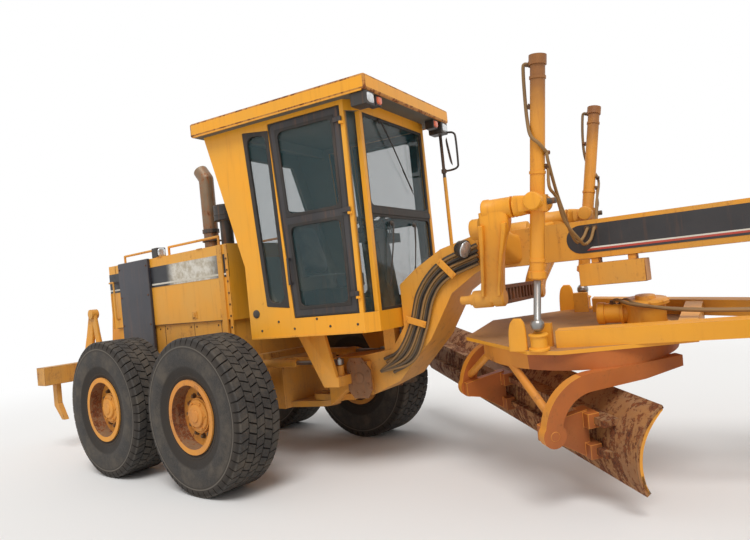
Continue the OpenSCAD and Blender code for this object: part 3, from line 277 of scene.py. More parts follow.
def dress(node, paint, edge=None, width=0.004, other=None, segments=2):
    """Finishes a CAD piece: its own points with the doubles merged and flat faces joined, edges
    rounded by width into a second finish. other = (material, test) gives faces of their own."""
    source = nodes[node]
    shape = bmesh.new()
    shape.from_mesh(source.data)
    bmesh.ops.remove_doubles(shape, verts=shape.verts, dist=2e-5)
    bmesh.ops.dissolve_limit(shape, angle_limit=math.radians(1.0), verts=shape.verts,
                             edges=shape.edges)
    mesh = bpy.data.meshes.new(node + "_finished")
    shape.to_mesh(mesh)
    shape.free()
    for material in (paint, edge or paint) + ((other[0],) if other else ()):
        mesh.materials.append(material)
    if other:
        count = len(mesh.polygons)
        middle, normal = np.zeros(count * 3), np.zeros(count * 3)
        mesh.polygons.foreach_get("center", middle)
        mesh.polygons.foreach_get("normal", normal)
        chosen = other[1](middle.reshape(-1, 3), normal.reshape(-1, 3))
        mesh.polygons.foreach_set("material_index", np.where(chosen, 2, 0).astype(np.int32))
    set_smooth(mesh)
    made = bpy.data.objects.new(node + "_finished", mesh)
    scene.collection.objects.link(made)
    if width:
        round_edges(made, width, segments, 1)
    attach(made, source["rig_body"])
    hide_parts(node)


MACHINE_YELLOW, SUN_YELLOW = (238, 160, 30), (226, 162, 62)
body_paint = painted("body_paint", MACHINE_YELLOW, SUN_YELLOW, rust=0.2, streaks=0.24, dirt=0.34)
body_edge = painted("body_paint_edges", MACHINE_YELLOW, SUN_YELLOW, rust=0.62, streaks=0.3)
frame_paint = painted("frame_paint", (232, 154, 32), (210, 150, 60), rust=0.34, streaks=0.34,
                      dirt=0.5, gloss=0.5)
frame_edge = painted("frame_paint_edges", (214, 140, 40), (188, 128, 54), rust=0.66, streaks=0.4,
                     dirt=0.6, gloss=0.55)
iron = painted("engine_cast_iron", (62, 58, 52), (82, 76, 66), rust=0.5, dirt=0.7, gloss=0.6)
for node in ("rear_frame", "tandem_axle", "ripper_frame", "ripper"):
    dress(node, frame_paint, frame_edge, 0.006)
dress("engine", iron, iron, 0.02, segments=3)

HITCH, PARK = np.array([-0.420, 0.0, 0.0]), math.radians(10)
REAR_X = np.array([math.cos(PARK), -math.sin(PARK), 0.0])
REAR_Y = np.array([math.sin(PARK), math.cos(PARK), 0.0])


def rear(points):
    """Points measured from the hitch pin on the rear frame, brought to where it stands parked."""
    x, y, z = np.moveaxis(np.asarray(points, float), -1, 0)[..., None]
    return x * REAR_X + y * REAR_Y + z * (0, 0, 1) + HITCH


def joined(shapes):
    """Several shapes, each points and faces, as one."""
    points, faces, start = [], [], 0
    for p, f in shapes:
        p = np.asarray(p, float).reshape(-1, 3)
        points.append(p)
        faces += [[int(i) + start for i in face] for face in f]
        start += len(p)
    return np.concatenate(points), faces


def piece(name, shapes, material, body, smooth=32.0, rounded=0.0, stands_for=(), at=None):
    """Puts a shape (points and faces), or a list of them, into a mesh of its own, placed by the
    function at. It rides on a body of the machine, or stays loose where body is None."""
    points, faces = joined(shapes) if isinstance(shapes, list) else shapes
    points = np.asarray(points, float).reshape(-1, 3)
    mesh = bpy.data.meshes.new(name)
    mesh.from_pydata((at(points) if at else points).tolist(), [], [list(map(int, f)) for f in faces])
    mesh.materials.append(material)
    mesh.update()
    set_smooth(mesh, smooth)
    made = bpy.data.objects.new(name, mesh)
    scene.collection.objects.link(made)
    if rounded:
        round_edges(made, rounded)
    if body:
        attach(made, body)
    if stands_for:
        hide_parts(*stands_for)
    return made


def grid_faces(rows, columns, close_rows=False, close_columns=False):
    """Four-sided faces over a grid of points stored row by row, wrapped round where closed."""
    i = np.arange(rows if close_rows else rows - 1)[:, None]
    j = np.arange(columns if close_columns else columns - 1)[None, :]
    i2, j2 = (i + 1) % rows, (j + 1) % columns
    quads = np.stack([i * columns + j, i * columns + j2, i2 * columns + j2, i2 * columns + j], -1)
    return quads.reshape(-1, 4)


def slabs(boxes):
    """Plates or bars, each from one corner to the opposite one: eight corners and six faces each."""
    boxes = np.asarray(boxes, float).reshape(-1, 2, 3)
    low, high = boxes.min(1), boxes.max(1)
    pick = np.array([[a, b, c] for a in (0, 1) for b in (0, 1) for c in (0, 1)])
    points = np.where(pick[None], high[:, None], low[:, None])
    six = np.array([[0, 1, 3, 2], [4, 6, 7, 5], [0, 4, 5, 1], [2, 3, 7, 6], [0, 2, 6, 4],
                    [1, 5, 7, 3]])
    faces = (six[None] + 8 * np.arange(len(boxes))[:, None, None]).reshape(-1, 4)
    return points.reshape(-1, 3), faces


def unit(v):
    """The same directions, each of length one."""
    v = np.asarray(v, float)
    return v / np.linalg.norm(v, axis=-1, keepdims=True)


def frame_on(axis):
    """Two directions square to an axis, and the axis itself, each of length one."""
    axis = unit(axis)
    first = unit(np.cross(axis, [0.0, 0.0, 1.0] if abs(axis[2]) < 0.9 else [1.0, 0.0, 0.0]))
    return first, np.cross(axis, first), axis


def ring_on(axis, count):
    """Directions of length one to count places round an axis."""
    first, second, out = frame_on(axis)
    angle = np.arange(count)[:, None] * 2 * np.pi / count
    return np.cos(angle) * first + np.sin(angle) * second


def studs(centres, axis, radius, height, sides=6):
    """Bolt heads: a washer, then a six-sided head with a rounded-in top, on an axis, at each centre."""
    ring, out = ring_on(axis, sides), frame_on(axis)[2]
    levels = np.array([[1.45, 0.0], [1.45, 0.22], [1.0, 0.22], [1.0, 0.86], [0.82, 1.0]])
    one = (levels[:, :1, None] * radius * ring + levels[:, 1:, None] * height * out).reshape(-1, 3)
    walls = grid_faces(len(levels), sides, close_columns=True)
    top = np.arange(sides) + (len(levels) - 1) * sides
    bottom = np.arange(sides)[::-1]
    centres = np.asarray(centres, float).reshape(-1, 3)
    step = len(one) * np.arange(len(centres))
    return ((centres[:, None] + one[None]).reshape(-1, 3),
            [f + s for s in step for f in (*walls, top, bottom)])


def lathe(profile, centre, axis, segments=48):
    """Turned shape: a profile of (radius, height) pairs spun about an axis, its poles closed."""
    profile, out = np.asarray(profile, float), frame_on(axis)[2]
    points = (np.asarray(centre) + profile[:, 0, None, None] * ring_on(axis, segments)
              + profile[:, 1, None, None] * out)
    faces = [list(f) for f in grid_faces(len(profile), segments, close_columns=True)]
    faces.append(list(range((len(profile) - 1) * segments, len(profile) * segments)))
    faces.append(list(range(segments))[::-1])
    return points.reshape(-1, 3), faces


bolt_steel = painted("bolt_steel", (70, 58, 48), (104, 80, 56), rust=0.55, dirt=0.5, gloss=0.5,
                     metal=0.6)
# Dark finish for thin strips along the hood's door seams: painted shadow in the gaps.
shadow_gap = painted("painted_gap_shadow", (40, 30, 20), (66, 46, 26), rust=0.5, dirt=0.4, gloss=0.7)

# ---- Tyres --------------------------------------------------------------------------------
# Moulded rubber with five rows of small staggered blocks and slanted cuts that run out over
# the shoulders. Sidewalls are smooth, bulged and grey with dust, with a rib near the bead.
BLOCKS, TYRE_R, TREAD_DEPTH, SLANT = 50, 0.738, 0.024, 0.16
ROWS = [(-0.214, -0.137), (-0.128, -0.048), (-0.039, 0.039), (0.048, 0.128), (0.137, 0.214)]
WALL = [(0.7365, 0.2155, 1.0), (0.716, 0.2275, 0.95), (0.694, 0.2365, 0.8), (0.678, 0.2415, 0.5),
        (0.672, 0.2420, 0.0), (0.668, 0.2448, 0.0), (0.656, 0.2456, 0.0), (0.650, 0.2440, 0.0),
        (0.62, 0.2495, 0.0), (0.58, 0.2540, 0.0), (0.54, 0.2548, 0.0), (0.50, 0.2500, 0.0),
        (0.46, 0.2410, 0.0), (0.42, 0.2290, 0.0), (0.392, 0.2190, 0.0), (0.388, 0.2215, 0.0),
        (0.374, 0.2185, 0.0), (0.370, 0.2140, 0.0), (0.356, 0.2090, 0.0), (0.319, 0.2040, 0.0)]


def tyre_section():
    """Stations from one bead over the tread to the other: radius, place along the axle, depth that
    the cuts reach there, and how far the block pattern is turned, in blocks."""
    tread = []
    for k, (a, b) in enumerate(ROWS):
        lift, tilt = 0.5 * (k % 2), SLANT if k % 2 else -SLANT
        if k:
            tread.append((TYRE_R - TREAD_DEPTH, a - 0.0015, 0.0, lift - tilt))
        for y, share in ((a, -1), ((a + b) / 2, 0), (b, 1)):
            tread.append((TYRE_R, y, TREAD_DEPTH, lift + tilt * share))
        if k < len(ROWS) - 1:
            tread.append((TYRE_R - TREAD_DEPTH, b + 0.0015, 0.0, lift + tilt))
    tread, (radius, out, cut) = np.array(tread), np.array(WALL).T
    return np.concatenate([
        np.stack([radius, -out, cut * TREAD_DEPTH, tread[0, 3] + 0 * cut], -1)[::-1], tread,
        np.stack([radius, out, cut * TREAD_DEPTH, tread[-1, 3] + 0 * cut], -1)])


STATIONS = tyre_section()
CUT = np.array([[0.0, 1], [0.115, 1], [0.14, 0], [0.57, 0], [0.975, 0]])


def tyre_points(centre, axle):
    """Each station is a circle about the axle; between blocks the radius drops by the cut's depth.
    Returns the shape, how deep each point lies in a cut, and its radius."""
    first, second, out = frame_on(axle)
    spin = (np.arange(BLOCKS)[:, None] + CUT[None, :, 0]).ravel()
    cut = np.tile(CUT[:, 1], BLOCKS)
    reach, side, deep, turned = STATIONS.T[:, None]
    angle = (spin[:, None] + turned) * 2 * np.pi / BLOCKS
    sunk = cut[:, None] * deep
    lean = 0.55 * np.clip((np.abs(side) - 0.21) / 0.03, 0, 1)
    radius = reach - sunk * (1 - lean)
    along = side - np.sign(side) * sunk * lean
    points = (np.asarray(centre) + radius[..., None] * (
        np.cos(angle)[..., None] * first + np.sin(angle)[..., None] * second)
        + along[..., None] * out)
    depth = np.clip((TYRE_R - radius) / TREAD_DEPTH, 0, 1) * (np.abs(along) < 0.245)
    faces = grid_faces(len(spin), len(STATIONS), close_rows=True, close_columns=True)
    return (points, faces), depth.ravel(), radius.ravel()


rubber, w, surface = blank("tyre_rubber")
place = w.place()
deep = w.add("Attribute", attribute_name="cut_depth").outputs["Fac"]
reach = w.add("Attribute", attribute_name="reach").outputs["Fac"]
cloud, fine = w.noise(place, 5.0, 6.0, 0.65), w.noise(place, 70.0, 5.0, 0.7)
tone = w.mix(w.ease(fine, 0.3, 0.7), linear(46, 44, 43), linear(66, 62, 58))
tone = w.mix(w.ease(cloud, 0.38, 0.72, (0.0, 0.75)), tone, linear(96, 88, 78))
rib = w.times(w.ease(reach, 0.63, 0.662), w.ease(reach, 0.71, 0.675))
tone = w.mix(w.times(rib, 0.5), tone, linear(120, 112, 102))
tone = w.mix(w.times(w.ease(reach, 0.43, 0.36), 0.55), tone, linear(112, 92, 70))
# Deep in the cuts the rubber is painted darker: painted shade in the tread grooves.
w.give(surface, {
    "Base Color": w.mix(w.ease(deep, 0.3, 1.0, (0.0, 0.8)), tone, linear(40, 34, 29)),
    "Roughness": w.ease(cloud, 0.3, 0.7, (0.68, 0.92)), "Specular IOR Level": 0.35,
    "Normal": w.bump(w.plus(fine, cloud), 0.35, 0.003)})

FRONT_AXLE, WHEEL_Y, MID_X, BACK_X = 4.80, 1.155, -0.412, -2.068
SIDES = (("right", -1), ("left", 1))
WHEELS = {}
for side, s in SIDES:
    WHEELS["front_" + side] = (np.array([FRONT_AXLE, s * WHEEL_Y, TYRE_R]), np.array([0, s, 0]))
    for pair, x in (("mid_", MID_X), ("back_", BACK_X)):
        WHEELS[pair + side] = (rear([x, s * WHEEL_Y, TYRE_R]), REAR_Y * s)
for wheel, (centre, axle) in WHEELS.items():
    shape, *marks = tyre_points(centre, axle)
    tyre = piece("tyre_" + wheel + "_tread", shape, rubber, "wheel_" + wheel,
                 smooth=38, stands_for=("tyre_" + wheel,))
    for label, values in zip(("cut_depth", "reach"), marks):
        tyre.data.attributes.new(label, "FLOAT", "POINT").data.foreach_set(
            "value", values.astype(np.float32))

# ---- Rims ---------------------------------------------------------------------------------
# Rolled and welded steel, painted yellow and rusted through at the flanges and down in the
# dish. A ring of dark bolts holds each to its hub, under a stepped round cap.
rim_paint = painted("rim_paint", (236, 156, 30), (212, 132, 34), rust=0.36, streaks=0.15,
                    dirt=0.4, gloss=0.5)
rim_edge = painted("rim_flange", (206, 128, 44), (176, 100, 40), rust=0.66, dirt=0.4, gloss=0.5)
rim_inside = painted("rim_dish", (112, 70, 36), (84, 52, 32), rust=0.7, dirt=0.5, gloss=0.65)
NUT_RING, PLUG_RING, NUT_FACE, CAP_FACE = 0.199, 0.128, 0.0905, 0.136
for wheel, (centre, axle) in WHEELS.items():
    def in_the_dish(middle, normal, centre=centre, axle=axle):
        """Faces of the barrel's inner wall, which look back at the axle."""
        off = middle - centre
        flat = off - (off @ axle)[:, None] * axle
        return (np.linalg.norm(flat, axis=1) < 0.30) & ((normal * flat).sum(1) < -0.05)

    dress("rim_" + wheel, rim_paint, rim_edge, 0.005, (rim_inside, in_the_dish))
    ring = ring_on(axle, 12)
    nuts = studs(centre + axle * NUT_FACE + ring * NUT_RING, axle, 0.019, 0.034)
    piece("nuts_" + wheel, nuts, bolt_steel, "wheel_" + wheel)
    cap = lathe([(0.150, 0.0), (0.150, 0.010), (0.143, 0.016), (0.112, 0.016), (0.108, 0.022),
                 (0.106, 0.034), (0.098, 0.040), (0.060, 0.042), (0.056, 0.050), (0.030, 0.052)],
                centre + axle * CAP_FACE, axle)
    plugs = studs(centre + axle * (CAP_FACE + 0.016) + ring[::2] * PLUG_RING, axle, 0.010, 0.012)
    piece("hub_cap_" + wheel, [cap, plugs], rim_paint, "wheel_" + wheel)

# ---- Hood and what stands on it -----------------------------------------------------------
# Folded sheet doors over the engine with seams, hinges and latches, a dark band with a white
# line along each side, tall dark covers, rails, lamps, the exhaust and the air cleaner.
band_paint, w, surface = blank("dark_band")
along, scuffs = w.place("X"), w.noise(w.place(), 16.0, 6.0, 0.7)
bleached = w.times(w.ease(along, -2.30, -2.12), w.ease(along, -1.22, -1.52))
pale = w.mix(w.ease(scuffs, 0.35, 0.65), linear(214, 208, 196), linear(176, 164, 142))
tone = w.mix(w.ease(scuffs, 0.3, 0.75), linear(22, 24, 30), linear(44, 44, 48))
w.give(surface, {"Base Color": w.mix(w.times(bleached, w.ease(scuffs, 0.1, 0.34)), tone, pale),
                 "Roughness": w.ease(scuffs, 0.2, 0.8, (0.25, 0.6))})
cover_paint = painted("cover_paint", (30, 33, 44), (46, 48, 58), rust=0.05, streaks=0.1,
                      dirt=0.35, gloss=0.34)
cover_edge = painted("cover_paint_edges", (48, 50, 60), (70, 66, 66), rust=0.3, dirt=0.3, gloss=0.4)
white_line = painted("white_line", (226, 222, 212), (198, 190, 172), rust=0.1, streaks=0.2, dirt=0.4)


def grille_faces(middle, normal):
    """Faces of the radiator grille, behind the hood's rear wall."""
    back = (middle - HITCH) @ REAR_X
    return (back < -3.02) & (back > -3.108) & (middle[:, 2] > 1.66) & (middle[:, 2] < 2.29)


dress("hood", body_paint, body_edge, 0.008, (iron, grille_faces), segments=3)
dress("hood_bands", band_paint, band_paint, 0.0)
dress("side_covers", cover_paint, cover_edge, 0.010, segments=3)
dress("handrails", frame_paint, frame_edge, 0.0)
# Two opposite corners of each box on the left side: along, out and up, then the same again.
# The seam boxes are dark strips laid on the hood's sides: painted shadow in the door gaps.
SEAM_SHADOWS = [[-0.79, 0.629, 1.585, -0.783, 0.6322, 2.025], [-2.95, 0.629, 2.276, -2.943, 0.6322, 2.366],
         *([x, 0.609, 1.20, x + 0.007, 0.612, 1.57] for x in (-1.95, -1.36, -0.86)),
         [-1.95, 0.609, 1.30, -0.86, 0.612, 1.307], [-3.02, 0.629, 1.577, -0.62, 0.6322, 1.584]]
LINES = [[-2.105, 0.630, 2.052, -0.614, 0.636, 2.072], [-3.105, 0.630, 2.052, -2.815, 0.636, 2.072]]
LATCHES = [[x - 0.045, 0.630, 1.62, x + 0.045, 0.640, 1.70,
            x - 0.022, 0.630, 1.638, x + 0.022, 0.652, 1.682] for x in (-1.30, -0.78)]
HINGES = [*([x - 0.05, 0.628, 2.372, x + 0.05, 0.642, 2.379] for x in (-1.90, -1.10)),
          [-0.782, 0.628, 1.20, -0.700, 0.650, 2.374], [-0.655, 0.630, 1.20, -0.612, 0.644, 2.374],
          [-3.108, 0.630, 1.58, -3.080, 0.640, 2.026]]
SCREWS = ([(-0.634, 0.644, z) for z in np.arange(1.26, 2.34, 0.12)]
          + [(x, 0.609, 1.53) for x in (-2.05, -1.90, -1.42, -1.31, -0.91, -0.81)]
          + [(x, 0.670, z) for x in (-2.775, -2.155) for z in (1.28, 1.60, 1.95, 2.30)])


def sided(rows, s):
    """Points given for the left side, brought to the right (-1) or left as they are (1)."""
    return np.reshape(rows, (-1, 3)) * (1, s, 1)


for side, s in SIDES:
    piece("hood_seam_shadows_" + side, slabs(sided(SEAM_SHADOWS, s)), shadow_gap, "rear", at=rear)
    piece("hood_white_line_" + side, slabs(sided(LINES, s)), white_line, "rear",
          rounded=0.001, at=rear)
    fittings = slabs(np.concatenate([sided(LATCHES, s), sided(HINGES, s)]))
    piece("hood_latches_" + side, fittings, frame_paint, "rear", rounded=0.003, at=rear)
    piece("hood_bolts_" + side, studs(sided(SCREWS, s), (0, s, 0), 0.009, 0.008), bolt_steel, "rear",
          at=rear)


def tube(path, radius, sides=12, side=(0.13, 0.97, 0.19)):
    """Round tube along a path: at each point a ring square to the path, with closed ends."""
    path = np.asarray(path, float)
    along = unit(np.gradient(path, axis=0))
    across = unit(np.cross(along, side))[:, None]
    raised = np.cross(across, along[:, None])
    angle = (np.arange(sides) * 2 * np.pi / sides)[None, :, None]
    radius = np.broadcast_to(np.asarray(radius, float), len(path))[:, None, None]
    points = path[:, None] + radius * (np.cos(angle) * across + np.sin(angle) * raised)
    faces = [list(f[::-1]) for f in grid_faces(len(path), sides, close_columns=True)]
    faces += [list(range(sides)), list(range((len(path) - 1) * sides, len(path) * sides))[::-1]]
    return points.reshape(-1, 3), faces


def curve(points, steps=8):
    """Smooth line through chosen points: on each stretch a cubic whose slopes are half the
    difference of its neighbours, worked out for all stretches at once."""
    p = np.asarray(points, float)
    p = np.concatenate([2 * p[:1] - p[1:2], p, 2 * p[-1:] - p[-2:-1]])
    a, b, c, d = p[:-3, None], p[1:-2, None], p[2:-1, None], p[3:, None]
    t = (np.arange(steps) / steps)[None, :, None]
    line = 0.5 * (2 * b + (c - a) * t + (2 * a - 5 * b + 4 * c - d) * t ** 2
                  + (3 * b - a - 3 * c + d) * t ** 3)
    return np.concatenate([line.reshape(-1, p.shape[1]), p[-2:-1]])


GRAB = [(-3.05, 0.632, 2.16), (-3.05, 0.672, 2.16), (-2.95, 0.672, 2.16), (-2.95, 0.672, 2.12),
        (-2.94, 0.672, 1.72), (-2.94, 0.632, 1.70)]
for side, s in SIDES:
    piece("grab_rail_" + side, tube(curve(sided(GRAB, s), 5), 0.011), frame_paint, "rear",
          at=rear)


def hoop(inner, outer, low, high, cut=0.004):
    """Profile of a band for lathe(), between two radii and two heights, its outer corners cut."""
    return [(inner, low), (outer, low + cut), (outer, high - cut), (inner, high)]


stack_steel = painted("stack_steel", (150, 128, 102), (120, 98, 76), rust=0.45, streaks=0.45,
                      dirt=0.2, gloss=0.4, metal=0.35)
soot_black = painted("cleaner_black", (28, 28, 30), (50, 48, 46), rust=0.2, dirt=0.5, gloss=0.45)
lamp_black = painted("lamp_black", (30, 30, 32), (56, 54, 50), rust=0.08, dirt=0.5, gloss=0.4)
STACK_TOP, CLEANER_TOP = rear([-1.22, -0.37, 3.18]), rear([-0.93, -0.37, 2.665])
dress("stacks", stack_steel, stack_steel, 0.006,
      (soot_black, lambda middle, normal: (middle - HITCH) @ REAR_X > -1.08))
collars = [lathe(hoop(0.084, wide, low, high, 0.005), STACK_TOP, (0, 0, 1))
           for wide, low, high in ((0.094, -0.62, -0.57), (0.104, -0.72, -0.695))]
piece("stack_clamps", collars, soot_black, "rear")
bowl = lathe([(0.127, 0.0), (0.129, 0.004), (0.129, 0.012), (0.124, 0.018), (0.124, 0.05),
              (0.129, 0.056), (0.129, 0.066), (0.124, 0.072), (0.124, 0.14), (0.128, 0.15),
              (0.120, 0.17), (0.10, 0.172)], CLEANER_TOP, (0, 0, 1))
piece("cleaner_ribs", bowl, soot_black, "rear")


def lens(name, base, tint, metal):
    """Ribbed lamp glass: a tinted clear shell with fine upright ribs in its surface."""
    made, w, surface = blank(name)
    place = w.place()
    dust = w.noise(place, 30.0, 5.0)
    ribs = w.add("TexWave", {"Vector": place, "Scale": 60.0, "Distortion": 0.4}).outputs["Fac"]
    w.give(surface, {"Base Color": w.mix(w.ease(dust, 0.35, 0.75), linear(*base), linear(*tint)),
                     "Roughness": w.ease(dust, 0.3, 0.7, (0.08, 0.3)), "Coat Weight": 0.6,
                     "Metallic": metal, "Normal": w.bump(ribs, 0.4, 0.002)})
    return made


def rounded_square(n, power):
    """Grid of n by n places from -1 to 1 drawn in towards a rounded outline, and the larger of
    each place's two shares before that."""
    a, b = np.meshgrid(np.linspace(-1, 1, n), np.linspace(-1, 1, n), indexing="ij")
    longest = np.maximum(np.maximum(np.abs(a), np.abs(b)), 1e-9)
    pull = longest / (np.abs(a) ** power + np.abs(b) ** power + 1e-12) ** (1 / power)
    return a * pull, b * pull, longest


def pillow(centre, across, upward, out, width, height, depth, power=4.0, n=13):
    """Domed plate: depth times the root of one minus the sum of the two side shares to a power,
    over a rounded square, with a flat back."""
    a, b, _ = rounded_square(n, power)
    rise = depth * np.clip(1 - (np.abs(a) ** power + np.abs(b) ** power), 0, 1) ** 0.5
    across, upward, out = (np.asarray(v, float) for v in (across, upward, out))
    face = (np.asarray(centre) + (a * width / 2)[..., None] * across
            + (b * height / 2)[..., None] * upward + rise[..., None] * out).reshape(-1, 3)
    index = np.arange(n * n).reshape(n, n)
    rim = np.concatenate([index[0, :-1], index[:-1, -1], index[-1, :0:-1], index[:0:-1, 0]])
    first = n * n + np.arange(len(rim))
    skirt = np.stack([rim, first, np.roll(first, -1), np.roll(rim, -1)], -1)
    faces = [list(f) for f in (*grid_faces(n, n), *skirt, first[::-1])]
    if np.dot(np.cross(across, upward), out) < 0:
        faces = [f[::-1] for f in faces]
    return np.concatenate([face, face[rim] - 0.004 * out]), faces


clear_lens = lens("clear_lens", (226, 230, 232), (170, 172, 170), 0.55)
amber_lens = lens("amber_lens", (232, 96, 24), (190, 74, 26), 0.0)
dress("rear_lamps", lamp_black, lamp_black, 0.008)
piece("rear_lamp_lenses", [pillow(rear([-1.976, s * 0.55, 2.437]), REAR_Y, (0, 0, 1), REAR_X, 0.10,
                                  0.10, 0.012) for s in (-1, 1)], clear_lens, "rear")


# ---- Ripper towers ------------------------------------------------------------------------
# Two-legged plates stand at the ends of the rear bumper, where the ripper's lift links hang;
# bolted feet, and a round boss at the top.
def loft(rows, power=5.0, steps=32):
    """Casting drawn through sections. A row is a centre, half a side and half a depth, three numbers
    each. The outline adds the side and the depth, times the cosine and the sine of the turn, each
    raised to two over the power with its sign kept."""
    rows = np.asarray(rows, float)
    centre, side, depth = rows[:, None, 0:3], rows[:, None, 3:6], rows[:, None, 6:9]
    turn = ((np.arange(steps) + 0.5) * 2 * np.pi / steps)[None, :, None]
    c, s = (np.sign(f(turn)) * np.abs(f(turn)) ** (2 / power) for f in (np.cos, np.sin))
    n = len(rows)
    faces = [list(f) for f in grid_faces(n, steps, close_columns=True)]
    faces += [list(range(steps))[::-1], list(range((n - 1) * steps, n * steps))]
    if np.dot(np.cross(rows[0, 3:6], rows[0, 6:9]), rows[-1, :3] - rows[0, :3]) < 0:
        faces = [f[::-1] for f in faces]
    return (centre + c * side + s * depth).reshape(-1, 3), faces


def standing(rows, y, depth):
    """Rows for an upright plate along the machine: each gives place along, height and half length."""
    x, z, half = np.asarray(rows, float).T
    none = 0 * x
    return np.stack([x, none + y, z, half, none, none, none, none + depth, none], -1)


def lengthwise(rows):
    """Rows for a bar that runs along the machine: each gives its centre, half width and half height."""
    x, y, z, wide, tall = np.asarray(rows, float).T
    none = 0 * x
    return np.stack([x, y, z, none, wide, none, none, none, tall], -1)


for side, s in SIDES:
    y = s * 0.775
    legs = [loft(standing([(-3.560, 1.230, 0.105), (-3.450, 1.520, 0.080), (-3.370, 1.800, 0.050)], y,
                          s * 0.024), 8.0, 20),
            loft(standing([(-3.205, 1.230, 0.060), (-3.270, 1.520, 0.050), (-3.325, 1.800, 0.045)], y,
                          s * 0.020), 8.0, 20),
            loft(lengthwise([(x, y, 1.215, 0.030, 0.030) for x in (-3.665, -3.140)]), 8.0, 20),
            lathe(hoop(0.040, 0.062, -0.050, 0.050), (-3.335, y, 1.790), (0, 1, 0)),
            slabs([(-3.660, y - 0.02, 1.02), (-3.300, y + 0.02, 1.215)])]
    piece("ripper_tower_" + side, legs, frame_paint, "rear", rounded=0.004, at=rear)

# ---- Articulation and cab frame -----------------------------------------------------------
# The front frame is one welding from the hitch lugs up the gooseneck to the straight beam and
# the nose. Bolted round-cornered covers on the belly are brown with rust.
beam_black = painted("beam_black", (24, 25, 30), (48, 48, 52), rust=0.04, streaks=0.1, dirt=0.4,
                     gloss=0.36)
cover_rust = painted("rusted_cover", (120, 76, 44), (96, 60, 40), rust=0.62, streaks=0.3, dirt=0.5,
                     gloss=0.6)


def belly_covers(middle, normal):
    """Faces of the eight-sided covers on the belly's two sides."""
    return ((np.abs(middle[:, 1]) > 0.329) & (np.abs(middle[:, 1]) < 0.349) & (middle[:, 0] > 0.08)
            & (middle[:, 0] < 0.36) & (middle[:, 2] > 0.72) & (middle[:, 2] < 1.12))


dress("front_frame", frame_paint, frame_edge, 0.006, (cover_rust, belly_covers))
COVER_AT = np.array([0.22, 0.348, 0.918])
turn = np.arange(8) * math.pi / 4 + 0.39
heads = COVER_AT + np.c_[0.105 * np.cos(turn), 0 * turn, 0.155 * np.sin(turn)]
for side, s in SIDES:
    plate = studs(sided(heads, s), (0, s, 0), 0.013, 0.012)
    hub = lathe([(0.052, 0.0), (0.052, 0.006), (0.044, 0.010), (0.020, 0.012)],
                COVER_AT * (1, s, 1), (0, s, 0), 32)
    piece("belly_cover_bolts_" + side, [plate, hub], cover_rust, "front")
for node in ("artic_barrel_right", "artic_barrel_left", "accumulator_box", "front_axle",
             "lean_bracket_right", "lean_bracket_left", "knuckle_right", "knuckle_left"):
    dress(node, frame_paint, frame_edge, 0.004)
chrome = painted("rod_chrome", (150, 149, 147), (112, 106, 98), rust=0.12, streaks=0.3, dirt=0.4,
                 gloss=0.26, metal=0.9, bump=0.1)
ball_steel = painted("ball_steel", (190, 120, 60), (130, 84, 50), rust=0.5, dirt=0.4, gloss=0.4,
                     metal=0.5)
for node in ("artic_rod_right", "artic_rod_left"):
    dress(node, chrome, chrome, 0.0)
dress("drawbar_ball", ball_steel, None, 0.0)

# ---- Straight beam's side panels ----------------------------------------------------------
# A black painted panel with a round rear end on each side of the beam, a white line and a
# red line along its lower edge. The places of words and numbers stay bare.
PANEL_BACK, PANEL_FRONT, PANEL_MID, PANEL_HALF, LINE_FRONT = 2.36, 4.52, 1.975, 0.115, 4.50
red_line = painted("red_line", (190, 48, 34), (168, 74, 58), rust=0.1, streaks=0.2, dirt=0.4)


def flat_panel(outline, y, s, thick):
    """Thin plate on the beam's side: an outline in length and height, given a small thickness."""
    outline = np.asarray(outline, float)
    n = len(outline)
    i = np.arange(n)
    walls = np.stack([i, (i + 1) % n, (i + 1) % n + n, i + n], -1)
    faces = [list(f)[::-s] for f in (*walls, i[::-1], i + n)]
    return np.concatenate([np.insert(outline, 1, at, axis=1) for at in (y, y + s * thick)]), faces


bend = np.linspace(np.pi / 2, -np.pi / 2, 15)
panel = [(PANEL_FRONT, PANEL_MID + PANEL_HALF),
         *np.c_[PANEL_BACK - PANEL_HALF * np.cos(bend), PANEL_MID + PANEL_HALF * np.sin(bend)],
         (PANEL_FRONT, PANEL_MID - PANEL_HALF)]
for side, s in SIDES:
    piece("beam_panel_" + side, flat_panel(panel, s * 0.160, s, 0.003), beam_black, "front")
    for label, paint, low, high, back in (("white_", white_line, 1.894, 1.906, 2.42),
                                          ("red_", red_line, 1.878, 1.894, 2.40)):
        strip = [(back + 0.02, high), (LINE_FRONT, high), (LINE_FRONT, low), (back, low)]
        piece("beam_line_" + label + side, flat_panel(strip, s * 0.163, s, 0.0015), paint, "front")

# ---- Cab ----------------------------------------------------------------------------------
# Sheet steel cab with wide rear posts, yellow outside and dark trim inside. Rubber seals hold
# the panes, and the black door frames have round-cornered glass of their own.
cab_paint = painted("cab_paint", (243, 164, 28), (230, 162, 46), rust=0.14, streaks=0.24, dirt=0.2,
                    gloss=0.34)
cab_edge = painted("cab_paint_edges", (236, 160, 38), (218, 154, 58), rust=0.42, streaks=0.3,
                   dirt=0.3, gloss=0.4)
roof_edge = painted("roof_edges", (206, 140, 50), (176, 120, 60), rust=0.7, streaks=0.4, dirt=0.3,
                    gloss=0.5)
cab_trim = painted("cab_lining", (92, 92, 84), (108, 106, 96), rust=0.0, streaks=0.1, dirt=0.4,
                   gloss=0.7)
door_black = painted("door_black", (36, 36, 40), (58, 56, 58), rust=0.12, streaks=0.2, dirt=0.35)
trim_black = painted("black_steel", (32, 31, 31), (54, 50, 46), rust=0.2, dirt=0.5, gloss=0.5)
seal_rubber = painted("seal_rubber", (24, 24, 25), (44, 43, 42), rust=0.0, streaks=0.1, dirt=0.4,
                      gloss=0.6)


